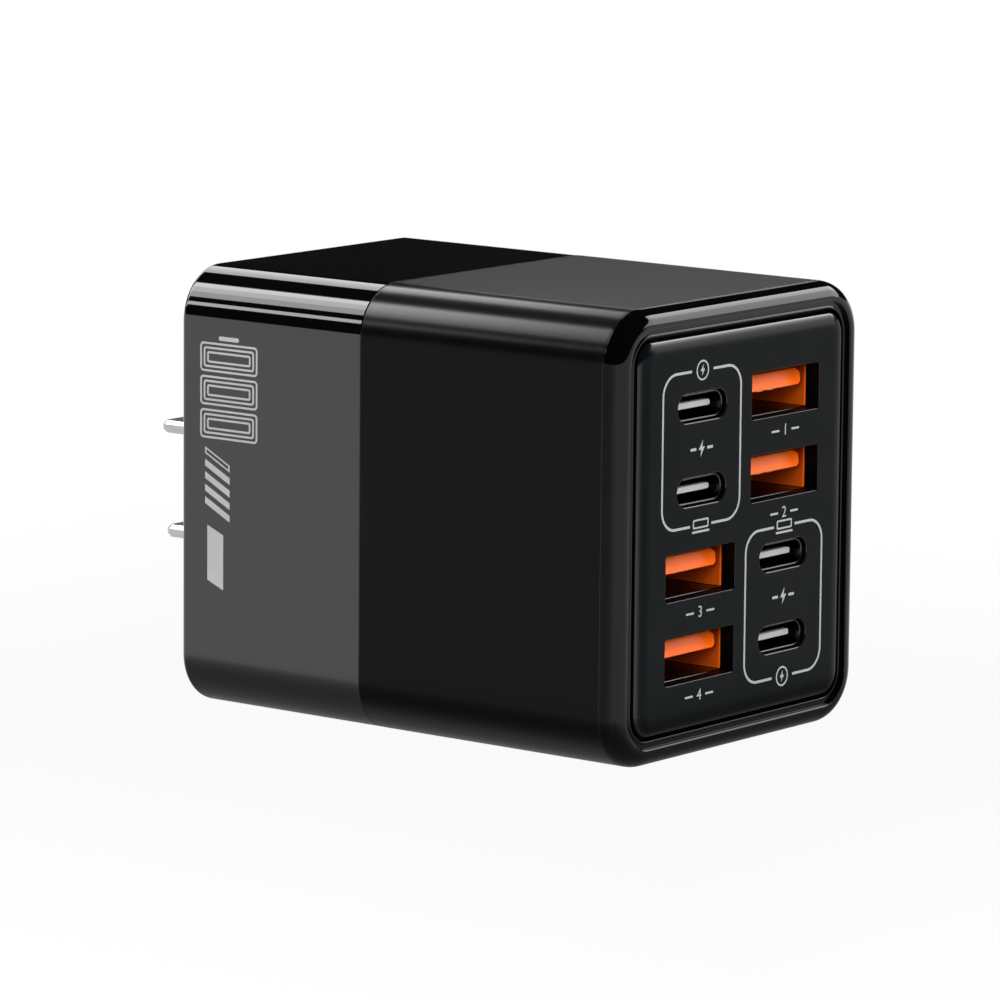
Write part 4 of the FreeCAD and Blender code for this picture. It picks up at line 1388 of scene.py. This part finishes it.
@dataclass(frozen=True)
class Studio:
    """The pale floor with its low cove, the lamps and the dim room."""

    floor_radius: float = 5.2
    cove_radius: float = 6.0
    cove_height: float = 0.47
    room: float = 0.008
    white: float = 0.86
    foot_reach: float = 0.03
    foot_light: Pair = (0.2, 1.0)
    paper_reach: float = 0.12
    paper_light: Pair = (0.95, 1.0)
    sides: int = 96
    cove_steps: int = 8

    def floor_material(self) -> bpy.types.Material:
        """A plain white floor that shows as white paper, also in reflections, and keeps the soft shadow.

        Returns:
            The material.
        """
        made = bpy.data.materials.new("pale_floor")
        made.use_nodes = True
        made.cycles.emission_sampling = "NONE"
        sheet = NodeSheet(made.node_tree)
        made.node_tree.nodes.remove(made.node_tree.nodes["Principled BSDF"])
        rays = sheet.add("ShaderNodeLightPath").outputs
        near = self.foot_distance(sheet)
        shown = sheet.remap(near, (0.0, self.paper_reach), self.paper_light)
        seen = sheet.math("MULTIPLY", rays["Is Camera Ray"], shown)
        mirrored = sheet.math("MAXIMUM", rays["Is Glossy Ray"], rays["Is Transmission Ray"])
        lit = sheet.remap(near, (0.0, self.foot_reach), self.foot_light)
        mirrored = sheet.math("MULTIPLY", mirrored, lit)
        white = sheet.add("ShaderNodeBsdfDiffuse")
        white.inputs["Color"].default_value = (self.white, self.white, self.white, 1.0)
        paper = sheet.add("ShaderNodeMixShader")
        sheet.link(sheet.math("MAXIMUM", seen, mirrored), paper.inputs[0])
        sheet.link(white.outputs[0], paper.inputs[1])
        sheet.link(sheet.add("ShaderNodeEmission").outputs[0], paper.inputs[2])
        sheet.link(paper.outputs[0], made.node_tree.nodes["Material Output"].inputs["Surface"])
        return made

    def foot_distance(self, sheet: NodeSheet) -> Socket:
        """How far a place on the floor lies from the outline of the part's foot.

        Args:
            sheet: the tree to add to.

        Returns:
            The distance in metres, below nought under the part.
        """
        split = sheet.add("ShaderNodeSeparateXYZ")
        sheet.link(sheet.add("ShaderNodeNewGeometry").outputs["Position"], split.inputs[0])
        half_w, half_l = CASE.width / 2 * MM, CASE.length / 2 * MM
        beside = sheet.math("SUBTRACT", sheet.math("ABSOLUTE", split.outputs["X"]), half_w)
        middle = sheet.math("ADD", split.outputs["Y"], half_l)
        along = sheet.math("SUBTRACT", sheet.math("ABSOLUTE", middle), half_l)
        return sheet.math("MAXIMUM", beside, along)

    def floor(self) -> None:
        """Lays the floor with its low cove far round."""
        ground = (CASE.middle - CASE.height / 2) * MM
        rings = [(self.floor_radius, ground)]
        for step in range(1, self.cove_steps + 1):
            turn = math.pi / 2 * step / self.cove_steps
            rings.append((self.floor_radius + (self.cove_radius - self.floor_radius) * math.sin(turn),
                          ground + self.cove_height * (1 - math.cos(turn))))
        body = Body()
        turns = [math.tau * step / self.sides for step in range(self.sides)]
        loops = [body.ring(Vector((radius * math.cos(turn), radius * math.sin(turn), z)) for turn in turns)
                 for radius, z in rings]
        body.mesh.faces.new(loops[0])
        body.skin(loops)
        data = bpy.data.meshes.new("floor")
        body.mesh.to_mesh(data)
        body.mesh.free()
        data.shade_smooth()
        data.materials.append(self.floor_material())
        floor = bpy.data.objects.new("floor", data)
        bpy.context.scene.collection.objects.link(floor)

    def lamps(self) -> tuple[SoftLamp, ...]:
        """The lamps, from the top of the body's left edge downwards and round to the front.

        Returns:
            The lamps.
        """
        return (
            SoftLamp("lamp_top_right", (0.376, 0.77, 0.526), 0.9, 0.345, 0.46, 2.4),
            SoftLamp("lamp_top_left", (-0.301, 0.77, 0.572), 0.9, 0.395, 0.46, 3.7),
            SoftLamp("lamp_left_upper", (-0.237, 0.77, 0.602), 0.9, 0.258, 0.46, 1.5),
            SoftLamp("lamp_left_crest", (-0.173, 0.77, 0.623), 0.9, 0.133, 0.46, 1.5),
            SoftLamp("lamp_left_line", (-0.548, 0.77, 0.343), 0.9, 0.085, 0.46, 5.2),
            SoftLamp("lamp_far_right", (0.77, 0.50, 0.39), 0.26, 0.04, 0.08, 1.0, (-0.62, 0.78, 0.0)),
            SoftLamp("lamp_front_upper", (0.775, -0.19, 0.58), 0.9, 0.40, 0.26, 6.0, (0.0, 0.64, 0.53)),
            SoftLamp("lamp_front_lower", (0.775, -0.50, 0.33), 0.9, 0.40, 0.50, 4.2, (0.0, 0.64, 0.53)),
            SoftLamp("fill_front", (0.05, -0.90, 0.52), 1.1, 0.8, 0.8, 7.5, (1.0, 0.0, 0.0), glare=False),
            SoftLamp("fill_left", (-0.90, -0.25, 0.45), 1.1, 0.7, 0.7, 6.0, glare=False),
        )

    def build(self) -> None:
        """Sets up the floor, the lamps and the room."""
        self.floor()
        aim = Vector((0.0, CASE.front / 2, CASE.middle)) * MM
        for lamp in self.lamps():
            lamp.build(aim)
        world = bpy.data.worlds.new("dim_room")
        world.use_nodes = True
        backdrop = world.node_tree.nodes["Background"].inputs
        backdrop["Color"].default_value = (self.room, self.room, self.room, 1.0)
        bpy.context.scene.world = world
        bpy.context.scene.view_settings.view_transform = "Standard"


@dataclass(frozen=True)
class Viewpoint:
    """The photograph's camera, in degrees, millimetres and pixels of a square image."""

    azimuth: float = -51.789
    elevation: float = 9.235
    roll: float = 0.5
    focal: float = 6285.7
    image: float = 1000.0
    sensor: float = 36.0
    distance: float = 723.69
    target: tuple[float, float, float] = (0.0, -29.825, 3.0)
    shift: Pair = (-0.712, -1.090)

    def build(self) -> None:
        """Sets up the camera."""
        azimuth, elevation, roll = (math.radians(a) for a in (self.azimuth, self.elevation, self.roll))
        back = Vector((math.sin(azimuth) * math.cos(elevation), -math.cos(azimuth) * math.cos(elevation),
                       math.sin(elevation)))
        right = (-back).cross(Vector((0, 0, 1))).normalized()
        up = right.cross(-back)
        eye = Vector(self.target) + back * self.distance + right * self.shift[0] + up * self.shift[1]
        across = right * math.cos(roll) + up * math.sin(roll)
        upward = up * math.cos(roll) - right * math.sin(roll)
        data = bpy.data.cameras.new("viewpoint")
        data.sensor_width = self.sensor
        data.lens = self.focal / self.image * self.sensor
        data.clip_start, data.clip_end = 0.01, 30.0
        camera = bpy.data.objects.new("viewpoint", data)
        turn = Matrix((across, upward, back)).transposed().to_4x4()
        camera.matrix_world = Matrix.Translation(eye * MM) @ turn
        bpy.context.scene.collection.objects.link(camera)
        bpy.context.scene.camera = camera


def dress_inner_nodes() -> None:
    """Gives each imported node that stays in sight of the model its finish."""
    for name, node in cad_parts.items():
        stem = name.rstrip("0123456789").rstrip("_")
        finish = INNER_FINISHES.get(stem)
        if finish is None:
            continue
        node.data.materials.clear()
        node.data.materials.append(finish.material())
        log.info("%s dressed as %s", name, finish.name)


def main() -> None:
    """Builds the camera and the studio, then the pieces in order, and dresses the inner nodes."""
    logging.basicConfig(level=logging.INFO, format="%(name)s: %(message)s")
    Viewpoint().build()
    Studio().build()
    FrontHousing().build()
    RearHousing().build()
    PortPanel().build()
    WIDE_PORT.build()
    NARROW_PORT.build()
    for blade in BLADES:
        blade.build()
    PanelPrint().build()
    SidePrint().build()
    dress_inner_nodes()


if __name__ == "__main__":
    main()
